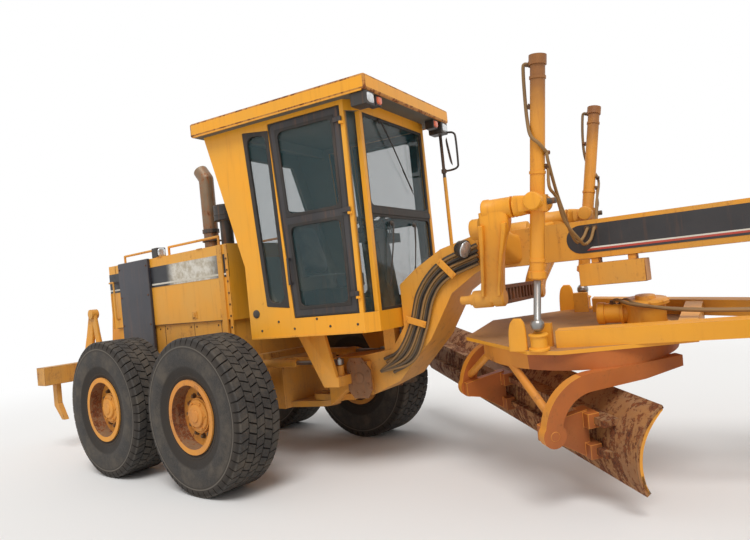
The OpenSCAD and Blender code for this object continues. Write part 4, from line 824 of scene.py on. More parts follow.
def inside_cab(middle, normal):
    """Faces that look into the cab's room."""
    x, y, z = middle.T
    return (np.abs(y) < 0.735) & (x < 0.655) & (z > 1.49) & (z < 3.425) & ~(
        (np.abs(normal[:, 0]) > 0.7) & (x > 0.64))


dress("cab_shell", cab_paint, cab_edge, 0.006, (cab_trim, inside_cab), segments=3)
dress("cab_roof", cab_paint, roof_edge, 0.022,
      (cab_trim, lambda middle, normal: normal[:, 2] < -0.9), segments=4)
for node in ("door_right", "door_left"):
    dress(node, door_black, door_black, 0.006)
for node in ("console", "ladder"):
    dress(node, trim_black, trim_black, 0.005)
dress("cab_lamps", lamp_black, lamp_black, 0.010, segments=3)
dress("headlamps", lamp_black, lamp_black, 0.006)

tinted, w, surface = blank("tinted_glass")
dirty = w.times(w.ease(w.place("Z"), 1.6, 2.3, (1.0, 0.0)),
                w.ease(w.noise(w.place(), 3.0, 6.0, 0.7), 0.4, 0.7))
w.give(surface, {"Base Color": w.mix(dirty, linear(20, 66, 72), linear(120, 116, 98)),
                 "Alpha": w.ease(dirty, 0.0, 1.0, (0.25, 0.4)),
                 "Roughness": w.ease(dirty, 0.0, 1.0, (0.03, 0.4)), "Specular IOR Level": 1.0})
for node in ("cab_glass", "door_glass_right", "door_glass_left"):
    dress(node, tinted, tinted, 0.0)


def rounded_loop(corners, radius, steps=6):
    """Closed outline with each corner turned into an arc: the arc's middle lies on the corner's
    bisector, and its points run between the two touching places."""
    p = np.asarray(corners, float)
    back, on = unit(np.roll(p, 1, 0) - p), unit(np.roll(p, -1, 0) - p)
    half = np.arccos(np.clip((back * on).sum(1), -1, 1))[:, None] / 2
    middle = p + unit(back + on) * radius / np.sin(half)
    start, end = (p + way * radius / np.tan(half) - middle for way in (back, on))
    t = np.linspace(0, 1, steps)[None, :, None]
    way = unit(start[:, None] * (1 - t) + end[:, None] * t) * radius
    return (middle[:, None] + way).reshape(-1, 2)


def inset(corners, by):
    """Polygon with every side moved in by a distance, for corners that run anticlockwise."""
    p = np.asarray(corners, float)
    on = unit(np.roll(p, -1, 0) - p)
    inward = np.c_[-on[:, 1], on[:, 0]]
    total = np.roll(inward, 1, 0) + inward
    return p + by * total / (0.5 * (total ** 2).sum(1))[:, None]


def seal(corners, width, radius, axis, low, high, back=False):
    """Rubber ring along an outline: a four-sided section carried round the rounded outline, width
    wide, from low to high along the given axis, its faces turned over for the right side."""
    outer = rounded_loop(corners, 0.012)
    inner = rounded_loop(inset(corners, width), radius)
    rings = [np.insert(flat, axis, depth, axis=1) for flat, depth in (
        (outer, low), (outer, high), (inner, high), (inner, low))]
    faces = grid_faces(4, len(outer), close_rows=True, close_columns=True)
    return np.concatenate(rings), [list(f)[::-1] if back else list(f) for f in faces]


def door_pane(low, high, margin):
    """Outline of one door pane, anticlockwise as seen from the left; the rear edge leans back."""
    rear_low, rear_high = (-0.150 - (z - 1.55) * 0.105 / 1.85 + margin for z in (low, high))
    return [(rear_low, low), (0.560 - margin, low), (0.560 - margin, high), (rear_high, high)]


ALONG, ACROSS = 0, 1
QUARTER = [(-0.460, 1.68), (-0.1957, 1.65), (-0.2515, 3.33), (-0.5668, 3.37)]
for side, s in SIDES:
    rings = [seal(door_pane(low, high, margin), width, radius, ACROSS, s * inner, s * outer, s < 0)
             for low, high, margin, width, radius, inner, outer in (
                 (1.625, 2.421, 0.070, 0.030, 0.055, 0.755, 0.7725),
                 (2.486, 3.320, 0.070, 0.030, 0.055, 0.755, 0.7725),
                 (1.560, 3.385, 0.010, 0.014, 0.030, 0.764, 0.7715))]
    piece("door_seals_" + side, rings, seal_rubber, "door_" + side, rounded=0.003)
    ring = seal(QUARTER, 0.042, 0.07, ACROSS, s * 0.745, s * 0.774, s < 0)
    piece("quarter_seal_" + side, ring, seal_rubber, "front", rounded=0.004)
shield = [seal([(-0.606, low), (0.606, low), (0.606, high), (-0.606, high)], 0.026, 0.05, ALONG,
               0.66, 0.684) for low, high in ((1.55, 2.421), (2.471, 3.33))]
piece("windshield_seals", shield, seal_rubber, "front", rounded=0.003)
piece("windshield_bar_cover", slabs([(0.676, -0.606, 2.418), (0.694, 0.606, 2.474)]), seal_rubber,
      "front", rounded=0.004)

# ---- Mirror pole --------------------------------------------------------------------------
# Steel pipe from the cab's left foot, yellow up to the bracket, with a black tube loop
# clamped to it that holds the mirror head by its edge.
POLE_X, POLE_Y, LOOP_LOW, LOOP_TOP = 0.800, 0.850, 2.930, 3.334
foot = [(0.640, 0.760, 1.420), (0.640, 0.846, 1.420), (0.650, POLE_Y, 1.420), (0.780, POLE_Y, 1.420),
        (POLE_X, POLE_Y, 1.450), (POLE_X, POLE_Y, 2.86)]
piece("mirror_pole", tube(foot, 0.019, 14, (0.3, 0.2, 0.9)), body_paint, "front",
      stands_for=("mirrors",))
loop = [(x, POLE_Y, z) for x, z in (
    (POLE_X, LOOP_TOP), (0.90, LOOP_TOP), (0.955, LOOP_TOP - 0.02), (0.972, LOOP_TOP - 0.08),
    (0.972, LOOP_LOW + 0.08), (0.960, LOOP_LOW + 0.02), (0.90, LOOP_LOW), (POLE_X, LOOP_LOW))]
shapes = [tube(curve(loop, 6), 0.011),
          tube([(POLE_X, POLE_Y, z) for z in (2.84, 3.0, 3.38)], 0.017, 12, (1, 0, 0))]
shapes += [lathe(hoop(0.020, 0.028, -0.024, 0.024), (POLE_X, POLE_Y, z), (0, 0, 1), 20)
           for z in (LOOP_LOW, LOOP_TOP)]
shapes.append(pillow((0.885, POLE_Y, 3.130), (-0.379, 0.925, 0), (-0.12, -0.03, 0.99),
                     (-0.925, -0.379, -0.1), 0.15, 0.30, 0.018))
piece("mirror_loop", shapes, trim_black, "front", smooth=40)

# ---- Cab fittings -------------------------------------------------------------------------
# Wipers, lamp glasses under the roof's front edge and on the nose, screws along the skirt, a
# round plug in its rear corner, and gutter strips under the roof's sides.
blades = []
for y0, z0, y1, z1 in ((-0.30, 3.30, 0.18, 2.75), (0.20, 2.34, 0.10, 1.80), (-0.25, 2.34, -0.38, 1.85)):
    foot, tip, lift = np.array([0.706, y0, z0]), np.array([0.700, y1, z1]), np.array([0.006, 0, 0])
    way = tip - foot
    blades += [tube([foot, foot + way * 0.35 + lift, tip], [0.010, 0.007, 0.005], 8),
               tube([foot + way * 0.83, tip + 0.12 * way], 0.006, 6),
               tube([foot + way * 0.77 - lift, tip + 0.18 * way - lift], 0.004, 6),
               lathe([(0.024, 0.0), (0.024, 0.012), (0.016, 0.022), (0.006, 0.024)],
                     foot - (0.022, 0, 0), (1, 0, 0), 20)]
piece("wipers", blades, trim_black, "front")
for label, finish, x, y, z, wide, tall, deep in (
        ("work_lamp_lenses", clear_lens, 0.891, 0.78, 3.372, 0.115, 0.085, 0.008),
        ("marker_lenses", amber_lens, 0.871, 0.595, 3.386, 0.085, 0.07, 0.014)):
    piece(label, [pillow((x, s * y, z), (0, 1, 0), (0, 0, 1), (1, 0, 0), wide, tall, deep)
                  for s in (-1, 1)], finish, "front")
piece("headlamp_lenses", [lathe([(0.078, 0.0), (0.074, 0.006), (0.05, 0.012), (0.02, 0.015)],
                                (4.817, s * 0.380, 2.295), (1, 0, 0), 40) for s in (-1, 1)],
      clear_lens, "front")
SKIRT_Y = 0.770
for side, s in SIDES:
    screws = [(x, s * SKIRT_Y, z) for z, places in ((1.455, (-0.55, -0.16, 0.24, 0.53)),
                                                    (1.53, (-0.34, 0.10))) for x in places]
    plug = lathe([(0.040, 0.0), (0.040, 0.006), (0.032, 0.010), (0.010, 0.011)],
                 (-0.60, s * SKIRT_Y, 1.62), (0, s, 0), 28)
    piece("skirt_screws_" + side, [studs(screws, (0, s, 0), 0.009, 0.008), plug], soot_black,
          "front")
    gutter = slabs(sided([[-1.12, 0.862, 3.424, 0.86, 0.874, 3.440],
                          [-0.68, SKIRT_Y, 1.376, 0.58, 0.776, 1.392]], s))
    piece("roof_gutter_" + side, gutter, cab_edge, "front", rounded=0.002)

# ---- Seat ---------------------------------------------------------------------------------
# Foam cushions in dark woven cloth on a sprung base. Each starts as a crowned slab and is
# blown up a little by a short cloth run, so its sides swell between the corners.
weaving = bpy.data.node_groups.new("woven_cloth", "ShaderNodeTree")
weaving.interface.new_socket("Height", in_out="OUTPUT", socket_type=VALUE)
w = Wiring(weaving)
place = w.place()
threads = [w.add("TexWave", {"Vector": place, "Scale": 160.0}, bands_direction=way).outputs["Fac"]
           for way in ("X", "Y")]
w.give(weaving.nodes.new("NodeGroupOutput"), {"Height": w.plus(*threads)})
cloth, w, surface = blank("seat_cloth")
worn = w.noise(w.place(), 9.0, 5.0)
weave = w.add("Group", node_tree=weaving).outputs[0]
w.give(surface, {"Base Color": w.mix(w.ease(worn, 0.35, 0.7), linear(52, 54, 58), linear(92, 88, 82)),
                 "Roughness": w.ease(worn, 0.3, 0.7, (0.8, 0.97)), "Sheen Weight": 0.35,
                 "Normal": w.bump(weave, 0.3, 0.001)})
CUSHION_GRID, RUN_FRAMES, PRESSURE, SWELL = 25, 12, 4.0, 0.02


def blow_up(made):
    """Short cloth run with pressure and no gravity; each point keeps within SWELL of its start."""
    start = np.zeros(len(made.data.vertices) * 3)
    made.data.vertices.foreach_get("co", start)
    blown = made.modifiers.new("blown", "CLOTH")
    blown.settings.use_pressure = True
    blown.settings.uniform_pressure_force = PRESSURE
    blown.settings.effector_weights.gravity = 0.0
    blown.point_cache.frame_end = RUN_FRAMES
    for tick in range(RUN_FRAMES):
        scene.frame_set(tick + 1)
    done = made.evaluated_get(bpy.context.evaluated_depsgraph_get())
    end = np.zeros(len(start))
    done.data.vertices.foreach_get("co", end)
    made.modifiers.remove(blown)
    scene.frame_set(1)
    move = (end - start).reshape(-1, 3)
    far = np.linalg.norm(move, axis=1, keepdims=True)
    move *= np.minimum(1.0, SWELL / np.maximum(far, 1e-9))
    made.data.vertices.foreach_set("co", start + np.nan_to_num(move).ravel())
    made.data.update()


def cushion(name, centre, across, along, up_way, size):
    """Crowned slab: a rounded-square outline drawn in at top and bottom, its top raised in the
    middle, and then swelled by the cloth run."""
    n = CUSHION_GRID
    a, b, longest = rounded_square(n, 5)
    edge = np.clip(1 - longest ** 8, 0, 1) ** 0.5
    crown = 1 + 0.12 * np.clip(1 - a ** 2 - b ** 2, 0, 1)
    basis, half = np.array([across, along, up_way], float), np.array(size) / 2
    skins = [np.stack([a * half[0], b * half[1], half[2] * rise], -1).reshape(-1, 3)
             for rise in (edge * crown, -edge)]
    faces = [list(f) for f in grid_faces(n, n)]
    faces += [[v + n * n for v in f[::-1]] for f in faces]
    if np.linalg.det(basis) < 0:
        faces = [f[::-1] for f in faces]
    made = piece(name, (np.concatenate(skins) @ basis + centre, faces), cloth, "front",
                 smooth=60)
    shape = bmesh.new()
    shape.from_mesh(made.data)
    bmesh.ops.remove_doubles(shape, verts=shape.verts, dist=1e-4)
    bmesh.ops.recalc_face_normals(shape, faces=shape.faces)
    shape.to_mesh(made.data)
    shape.free()
    blow_up(made)
    made.data.shade_smooth()
    soft = made.modifiers.new("soft_surface", "SUBSURF")
    soft.levels = soft.render_levels = 1


back_way = Vector((-0.30, 0, 0.92)).normalized()
cushion("seat_cushion", (-0.250, 0, 1.865), (1, 0, 0), (0, 1, 0), (0, 0, 1), (0.50, 0.48, 0.11))
cushion("seat_back", (-0.480, 0, 2.265), (0, 1, 0), back_way, np.cross([0, 1, 0], back_way),
        (0.44, 0.66, 0.10))
dress("seat", trim_black, trim_black, 0.02, segments=3)

# ---- Lift saddle --------------------------------------------------------------------------
# Cast steel arms reach out from the beam to a round pivot tube each, and a bar full of lock
# holes ties them together below. A work lamp sits on the neck behind the right arm.
cast_paint = painted("cast_paint", (236, 158, 32), (220, 154, 56), rust=0.2, streaks=0.4,
                     dirt=0.22, gloss=0.44)
lock_brown = painted("lock_bar_brown", (128, 78, 44), (96, 60, 38), rust=0.5, dirt=0.4, gloss=0.6)
# Each row: place along the machine, out from its middle and up, then half its size along the
# machine, and its half depth outwards and upwards.
ARM = [[1.900, 0.862, 2.235, 0.116, 0.074, 0.000], [1.894, 0.856, 2.120, 0.112, 0.070, -0.016],
       [1.850, 0.800, 2.000, 0.098, 0.058, -0.038], [1.800, 0.715, 1.885, 0.090, 0.053, -0.040],
       [1.760, 0.632, 1.765, 0.086, 0.056, -0.034], [1.732, 0.580, 1.665, 0.084, 0.062, -0.016],
       [1.720, 0.562, 1.545, 0.086, 0.066, 0.000]]
WEB = [[1.690, 0.440, 2.150, 0.080, 0.000, 0.070], [1.735, 0.600, 2.150, 0.080, 0.000, 0.050],
       [1.800, 0.740, 2.165, 0.090, 0.000, 0.050], [1.850, 0.820, 2.190, 0.090, 0.000, 0.050]]
CLASP = [[1.720, 0.140, 1.965, 0.150, 0.000, 0.130], [1.710, 0.200, 1.975, 0.135, 0.000, 0.125],
         [1.695, 0.320, 2.040, 0.110, 0.000, 0.105], [1.680, 0.460, 2.125, 0.090, 0.000, 0.080]]
RIB_AT, RIB_DEPTH = 0.80, 0.024


def outward(rows, s):
    """Rows of a casting on the right (-1) or the left (1) side, smoothed and ready to be lofted."""
    x, y, z, half, out, rise = np.array(rows).T
    none = 0 * x
    return curve(np.stack([x, s * y, z, half, none, none, none, s * out, rise], -1), 4)


for side, s in SIDES:
    shapes = [loft(outward(rows, s)) for rows in (ARM, WEB, CLASP)]
    for k in (-RIB_AT, RIB_AT):
        rib = outward(ARM, s)[3:-2]
        reach = np.linalg.norm(rib[:, 6:9], axis=1)[:, None]
        rib[:, :3] += rib[:, 6:9] * (1 + RIB_DEPTH / 2 / reach) + rib[:, 3:6] * k
        rib[:, 3:6] *= 0.17
        rib[:, 6:9] *= RIB_DEPTH / reach
        shapes.append(loft(rib, 4.0, 16))
    piece("saddle_arm_" + side, shapes, cast_paint, "front", rounded=0.004)
    tubes = [lathe([(0.050, 0.0), (0.074, 0.0), (0.084, 0.010), (0.084, 0.048), (0.078, 0.056),
                    (0.078, 0.214), (0.081, 0.218), (0.081, 0.228), (0.072, 0.230)],
                   (1.815, s * 0.862, 2.250), (1, 0, 0)),
             lathe([(0.060, 0.0), (0.080, 0.004), (0.088, 0.018), (0.088, 0.200), (0.084, 0.212),
                    (0.066, 0.218)], (1.548, s * 0.462, 2.152), (1, 0, 0)),
             lathe([(0.030, 0.0), (0.036, 0.004), (0.036, 0.085), (0.046, 0.088), (0.046, 0.112),
                    (0.070, 0.118), (0.072, 0.130), (0.072, 0.270), (0.060, 0.285), (0.072, 0.300),
                    (0.072, 0.372), (0.058, 0.385)], (1.430, s * 0.562, 1.575), (1, 0, 0)),
             studs([(1.70, s * 0.640, 1.83), (1.715, s * 0.628, 1.72)], (0, s, 0.3), 0.013, 0.014)]
    piece("saddle_tubes_" + side, tubes, cast_paint, "front", smooth=40)
posts = [((1.665, k * 0.09 - 0.018, 1.535), (1.765, k * 0.09 + 0.018, 1.645)) for k in range(-5, 6)]
bars = [((x0, -0.52, z0), (x1, 0.52, z1)) for x0, x1, z0, z1 in (
    (1.660, 1.770, 1.640, 1.668), (1.660, 1.770, 1.512, 1.542), (1.685, 1.705, 1.52, 1.66))]
piece("lock_bar", slabs(posts + bars), lock_brown, "front", rounded=0.003,
      stands_for=("lift_saddle",))
LAMP_AT, LAMP_WAY = np.array([1.405, -0.345, 2.010]), np.array([0.90, -0.25, -0.30])
bowl = lathe([(0.012, -0.075), (0.040, -0.070), (0.066, -0.045), (0.078, -0.006), (0.082, 0.0),
              (0.082, 0.022), (0.076, 0.024)], LAMP_AT, LAMP_WAY, 40)
stalk = tube([(1.38, -0.255, 1.93), (1.385, -0.30, 1.955), (1.39, -0.335, 1.985)], 0.014, 10)
piece("blade_lamp", [bowl, stalk], lamp_black, "front", smooth=40)
glass = lathe([(0.074, 0.0), (0.070, 0.010), (0.045, 0.020), (0.015, 0.023)],
              LAMP_AT + 0.022 * LAMP_WAY, LAMP_WAY, 40)
piece("blade_lamp_lens", glass, clear_lens, "front", smooth=40)

# ---- Lift cylinders -----------------------------------------------------------------------
# Seamless tube barrels with a screwed cap, hung by two bosses in a forked yoke that turns on
# the saddle's tube. A hose from the cap runs down each and hangs free over to the beam.
LIFT_X, HANG_Y, YOKE_Y, TOP_Z = 2.230, 0.860, 0.862, 2.250
ROLL, PITCH, BALL = math.radians(6.5), math.radians(2.5), np.array([5.020, 0.0, 1.050])
LIFT_BALL_X, LIFT_BALL_Y, LIFT_BALL_Z = 2.110, 0.800, 1.324


def on_drawbar(points):
    """Points measured on the level drawbar, rolled and then pitched about its ball."""
    x, y, z = np.moveaxis(np.asarray(points, float) - BALL, -1, 0)
    y, z = y * math.cos(ROLL) - z * math.sin(ROLL), y * math.sin(ROLL) + z * math.cos(ROLL)
    x, z = x * math.cos(PITCH) + z * math.sin(PITCH), z * math.cos(PITCH) - x * math.sin(PITCH)
    return np.stack([x, y, z], -1) + BALL


barrel_paint = painted("lift_barrel_paint", (232, 152, 34), (206, 140, 54), rust=0.16,
                       streaks=0.5, dirt=0.2)
w = Wiring(barrel_paint.node_tree)
surface = w.tree.nodes["Principled BSDF"]
worn = surface.inputs["Base Color"].links[0].from_socket
# The barrel's colour turns darker and browner towards its top, mottled by noise: painted shade.
painted_top_shade = w.times(w.ease(w.place("Z"), 2.75, 3.22), w.ease(w.noise(w.place(), 7.0, 5.0), 0.2, 0.6,
                                                        (0.5, 0.95)))
w.give(surface, {"Base Color": w.mix(painted_top_shade, worn, linear(132, 82, 40))})
hose_rubber = painted("hose_rubber", (44, 40, 36), (74, 64, 52), rust=0.16, streaks=0.1, dirt=0.55,
                      gloss=0.6)
hose_brown = painted("hose_dusty", (150, 112, 62), (112, 86, 54), rust=0.1, streaks=0.1, dirt=0.4,
                     gloss=0.6)


def pin_ends(middle, normal):
    """Faces of the front stub that the barrel's pin ends in."""
    return (middle[:, 0] > 2.302) & (np.abs(middle[:, 2] - TOP_Z) < 0.03)


def evenly(path, count):
    """The same line with its points at even steps of its length, and that length."""
    run = np.r_[0, np.cumsum(np.linalg.norm(np.diff(path, axis=0), axis=1))]
    at = np.linspace(0, run[-1], count)
    line = np.stack([np.interp(at, run, path[:, k]) for k in range(3)], -1)
    return line, float(np.linalg.norm(np.diff(line, axis=0), axis=1).sum())


HOSE_R, HOSE_POINTS = 0.012, 40
for side, s in SIDES:
    barrel = "lift_barrel_" + side
    dress(barrel, barrel_paint, frame_edge, 0.006, (iron, pin_ends))
    dress("lift_rod_" + side, chrome, chrome, 0.0)
    hang = np.array([LIFT_X, s * HANG_Y, TOP_Z])
    rise = unit(hang - on_drawbar([LIFT_BALL_X, s * LIFT_BALL_Y, LIFT_BALL_Z]))
    back = unit(np.array([-1.0, 0, 0]) + rise[0] * rise)
    axes = np.array([rise, back, np.cross(rise, back) * -s])
    yoke = s * YOKE_Y
    shapes = [loft(lengthwise([(2.062, yoke, TOP_Z, 0.074, 0.074), (2.085, yoke, TOP_Z, 0.082, 0.076),
                               (2.120, yoke, TOP_Z, 0.104, 0.070),
                               (2.150, yoke, TOP_Z, 0.130, 0.064)]), 4.0),
              lathe(hoop(0.070, 0.080, 0.0, 0.022), (2.054, yoke, TOP_Z), (1, 0, 0))]
    for d in (-1, 1):
        y = s * (YOKE_Y + d * 0.106)
        shapes += [loft(lengthwise([(x, y, TOP_Z, wide, tall) for x, wide, tall in (
                       (2.120, 0.024, 0.064), (2.180, 0.024, 0.056), (2.240, 0.024, 0.056),
                       (2.285, 0.022, 0.044), (2.302, 0.018, 0.024))]), 4.0),
                   lathe([(0.066, -0.006), (0.066, 0.034), (0.060, 0.046), (0.036, 0.050)],
                         (2.236, y + s * d * 0.020, TOP_Z + 0.004), (0, s * d, 0))]
    piece("lift_yoke_" + side, shapes, cast_paint, barrel, smooth=40, rounded=0.003)
    bands = [lathe(hoop(0.054, 0.060, -0.012, 0.012, 0.002), hang + rise * at, rise)
             for at in (0.90, 0.22, -0.42)]
    bands += [lathe([(0.054, -0.03), (0.066, -0.026), (0.066, 0.020), (0.040, 0.034)],
                    hang - rise * 0.530, -rise),
              lathe([(0.050, 0.0), (0.056, 0.006), (0.056, 0.016), (0.030, 0.020)],
                    hang + rise * 1.030, rise)]
    piece("lift_bands_" + side, bands, barrel_paint, barrel, smooth=40)
    # Each row: how far up the barrel from its bosses, behind its middle and in towards the beam.
    long_pipe = hang + np.array([
        (1.0, 0.066, 0), (1.006, 0.096, 0), (0.970, 0.106, 0), (0.78, 0.094, 0), (0.60, 0.070, 0.02),
        (0.48, 0.03, 0.070), (0.42, -0.03, 0.072), (0.36, -0.072, 0.02)]) @ axes
    short_pipe = hang + np.array([(0.27, -0.056, 0), (0.265, -0.072, 0), (0.23, -0.078, 0),
                                  (0.17, -0.079, 0)]) @ axes
    piece("lift_cap_hose_" + side, [tube(curve(long_pipe, 5), 0.013),
                                    tube(curve(short_pipe, 4), 0.011, 10)],
          hose_brown, barrel, smooth=50)
    grips = [studs([hang + rise * at + back * 0.060 * way], back * way, 0.016, 0.030)
             for at, way in ((1.0, 1), (0.70, 1), (0.36, -1), (0.26, -1))]
    piece("lift_fittings_" + side, grips, bolt_steel, barrel)
    for which, leave, drop in (("upper_", long_pipe[-1], 0.0), ("lower_", short_pipe[-1], 0.055)):
        knots = [leave, leave - rise * 0.07 - back * 0.012,
                 (2.345, s * 0.740, 2.330 - drop), (2.352, s * 0.600, 2.160 - drop),
                 (2.352 + drop, s * 0.440, 2.020 - drop), (2.362 + drop, s * 0.310, 1.950 - drop * 0.4),
                 (2.395 + drop, s * 0.232, 1.985 - drop * 0.4), (2.418 + drop, s * 0.196, 2.040),
                 (2.424 + drop, s * 0.165, 2.062)]
        way, length = evenly(curve(knots, 12), HOSE_POINTS)
        hose = piece("lift_hose_" + which + side, tube(way, HOSE_R), hose_brown, None,
                     smooth=50)
        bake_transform(hose)
    plates = studs([(2.418 + drop, s * 0.161, 2.058) for drop in (0.0, 0.055)], (0, s, 0), 0.018, 0.020)
    piece("beam_fittings_" + side, plates, bolt_steel, "front")

# ---- Drawbar ------------------------------------------------------------------------------
# Welded A-frame with a thick plate, ball brackets under the lift cylinders, and the gearbox
# with its oil motor that turns the circle. Steel pipes run along it to the motor.
PLATE_TOP, RING_TOP, RING_LOW, CIRCLE_X = 1.134, 1.098, 0.968, 2.200
GEAR_X, LID_RING, MOTOR_X, MOTOR_Z, PORT_X = 2.760, 0.167, 2.45, PLATE_TOP + 0.11, 2.51
bar_paint = painted("drawbar_paint", (238, 162, 34), (214, 146, 50), rust=0.3, streaks=0.1, dirt=0.12)
plate_stain = painted("drawbar_plate", (188, 130, 62), (146, 104, 66), rust=0.42, streaks=0.1,
                      dirt=0.35, gloss=0.6)


def plate_faces(middle, normal):
    """Upper faces of the plate, on which mud and grease lie."""
    low = on_drawbar([CIRCLE_X, 0.0, PLATE_TOP])[2]
    return (normal[:, 2] > 0.9) & (middle[:, 0] < 3.16) & (
        middle[:, 2] < low + 0.14 * np.abs(middle[:, 1]) + 0.05)


dress("drawbar", bar_paint, frame_edge, 0.008, (plate_stain, plate_faces))
up_way = on_drawbar(BALL + (0, 0, 1.0)) - BALL
gear = on_drawbar([GEAR_X, 0.0, PLATE_TOP])
front_face, back_face = (on_drawbar([x, 0, MOTOR_Z]) for x in (MOTOR_X + 0.15, MOTOR_X))
motor_way = back_face - front_face
turn = np.arange(10) * 2 * np.pi / 10
lid = np.c_[GEAR_X + LID_RING * np.cos(turn), LID_RING * np.sin(turn), 0 * turn + PLATE_TOP]
heads = on_drawbar(np.concatenate([lid + (0, 0, at) for at in (0.020, 0.208)]))
piece("circle_drive", [
    lathe([(0.150, 0.0), (0.188, 0.002), (0.188, 0.022), (0.156, 0.026)], gear, up_way),
    lathe([(0.150, 0.186), (0.176, 0.188), (0.176, 0.210), (0.160, 0.224), (0.080, 0.226),
           (0.074, 0.250), (0.030, 0.254)], gear, up_way),
    studs(heads, up_way, 0.011, 0.012),
    lathe([(0.080, 0.0), (0.094, 0.002), (0.094, 0.022), (0.080, 0.026)], front_face, motor_way),
    lathe([(0.080, 0.0), (0.090, 0.002), (0.090, 0.05), (0.084, 0.056), (0.080, 0.060)], back_face,
          motor_way)], bar_paint, "drawbar", smooth=40)
pipes = []
for k in (0, 1):
    knots = [[PORT_X + k * 0.07, 0.00, 1.325], [2.55 + k * 0.07, -0.03, 1.358],
             [2.70 + k * 0.04, -0.20, 1.345], [3.05, -0.27 - k * 0.035, 1.315],
             [3.55, -0.235 - k * 0.035, 1.295], [4.10, -0.160 - k * 0.035, 1.290],
             [4.62, -0.090 - k * 0.035, 1.290]]
    pipes.append(tube(on_drawbar(curve(knots, 8)), 0.013, 12, (0.1, 0.2, 0.97)))
piece("drawbar_pipes", pipes, hose_brown, "drawbar", smooth=50)
ports = on_drawbar([(PORT_X + k * 0.07, 0.0, PLATE_TOP + 0.185) for k in (0, 1)])
piece("motor_ports", studs(ports, up_way, 0.022, 0.030), bolt_steel, "drawbar")
for side, s in SIDES:
    y = s * LIFT_BALL_Y
    cheek = standing([(1.950, PLATE_TOP - 0.01, 0.072), (1.952, PLATE_TOP + 0.12, 0.068),
                      (1.956, PLATE_TOP + 0.20, 0.056), (1.960, PLATE_TOP + 0.24, 0.030)],
                     y, s * np.array([0.017, 0.017, 0.017, 0.014]))
    socket = lathe([(0.062, 0.0), (0.078, 0.002), (0.078, 0.020), (0.062, 0.024)],
                   (LIFT_BALL_X, y, PLATE_TOP), (0, 0, 1))
    cap = lathe([(0.070, 0.0), (0.072, 0.004), (0.072, 0.014), (0.060, 0.018)],
                (LIFT_BALL_X, y, PLATE_TOP + 0.108), (0, 0, 1))
    piece("ball_bracket_" + side, [loft(curve(cheek, 4), 4.0), socket, cap], bar_paint, "drawbar",
          smooth=40, rounded=0.003, at=on_drawbar)

# ---- Circle -------------------------------------------------------------------------------
# Forged ring with teeth on its inside, welded to two swept arms that carry the blade. The
# arms' sides are brown with rust and their rims still yellow.
circle_paint = painted("circle_paint", (184, 98, 32), (146, 78, 34), rust=0.46, streaks=0.3,
                       dirt=0.08, gloss=0.5)
circle_edge = painted("circle_edges", (226, 146, 36), (196, 118, 40), rust=0.36, dirt=0.2, gloss=0.48)
CIRCLE_TURN, TEETH, TOOTH_ROOT, TOOTH_TIP, RING_IN = math.radians(44.5), 64, 0.642, 0.618, 0.650


def on_circle(points):
    """Points measured from the circle's middle, turned with it and tilted with the drawbar."""
    x, y, z = np.moveaxis(np.asarray(points, float), -1, 0)
    c, s = math.cos(CIRCLE_TURN), math.sin(CIRCLE_TURN)
    return on_drawbar(np.stack([CIRCLE_X + x * c - y * s, x * s + y * c, z], -1))


def circle_way(direction):
    """A direction measured on the circle, as it stands in the machine."""
    return on_circle(direction) - on_circle([0, 0, 0])


def rim_faces(middle, normal):
    """Faces along the rims of the ring and the arms, and not on their two sides."""
    return (np.abs(normal @ circle_way([0, 1, 0])) < 0.5) & (np.abs(normal @ up_way) < 0.97)


dress("circle_gear", circle_paint, circle_edge, 0.006, (circle_edge, rim_faces))
dress("blade_carrier", circle_paint, circle_edge, 0.006)
spin = (np.arange(TEETH)[:, None] + [0.0, 0.28, 0.42, 0.58, 0.72]).ravel() * 2 * np.pi / TEETH
bite = np.tile([TOOTH_ROOT, TOOTH_ROOT, TOOTH_TIP, TOOTH_TIP, TOOTH_ROOT], TEETH)
rings = [np.c_[r * np.cos(spin), r * np.sin(spin), 0 * spin + z] for r, z in (
    (bite, RING_TOP - 0.02), (bite, RING_LOW + 0.02), (RING_IN, RING_LOW + 0.02),
    (RING_IN, RING_TOP - 0.02))]
faces = grid_faces(4, len(spin), close_rows=True, close_columns=True)
piece("circle_teeth", (np.concatenate(rings), faces), circle_paint, "circle",
      at=on_circle)

# ---- Blade --------------------------------------------------------------------------------
# Rolled steel moldboard, scoured to brown steel with patches of old yellow, a bolted cutting
# edge along the bottom and a yellow bit at each end.
blade_steel = painted("blade_steel", (146, 92, 52), (212, 142, 42), rust=0.66, streaks=0.6,
                      dirt=0.45, gloss=0.5, metal=0.15, bump=0.9)
blade_back = painted("blade_back", (140, 88, 50), (176, 116, 50), rust=0.7, streaks=0.6, dirt=0.5,
                     gloss=0.55, metal=0.1, bump=0.9)
edge_steel = painted("cutting_edge", (112, 84, 62), (84, 64, 50), rust=0.6, streaks=0.5, dirt=0.5,
                     gloss=0.4, metal=0.5)
end_yellow = painted("end_bit_yellow", (240, 166, 38), (222, 152, 50), rust=0.36, dirt=0.2,
                     streaks=0.3, gloss=0.4)
HALF_TALL, CURVE_R, LEAN = 0.300, 0.413, math.radians(16)
HALF = math.asin(HALF_TALL / CURVE_R)
CURVE_X = -0.250 + math.sin(LEAN) * HALF_TALL + CURVE_R * math.cos(HALF) * math.cos(LEAN)
CURVE_Z = 0.180 + math.cos(LEAN) * HALF_TALL - CURVE_R * math.cos(HALF) * math.sin(LEAN)
BLADE_RIGHT, BLADE_LEFT, BIT_WIDE, EDGE_OUT = 1.000 - 2.135, 1.000 + 2.135, 0.085, 0.013


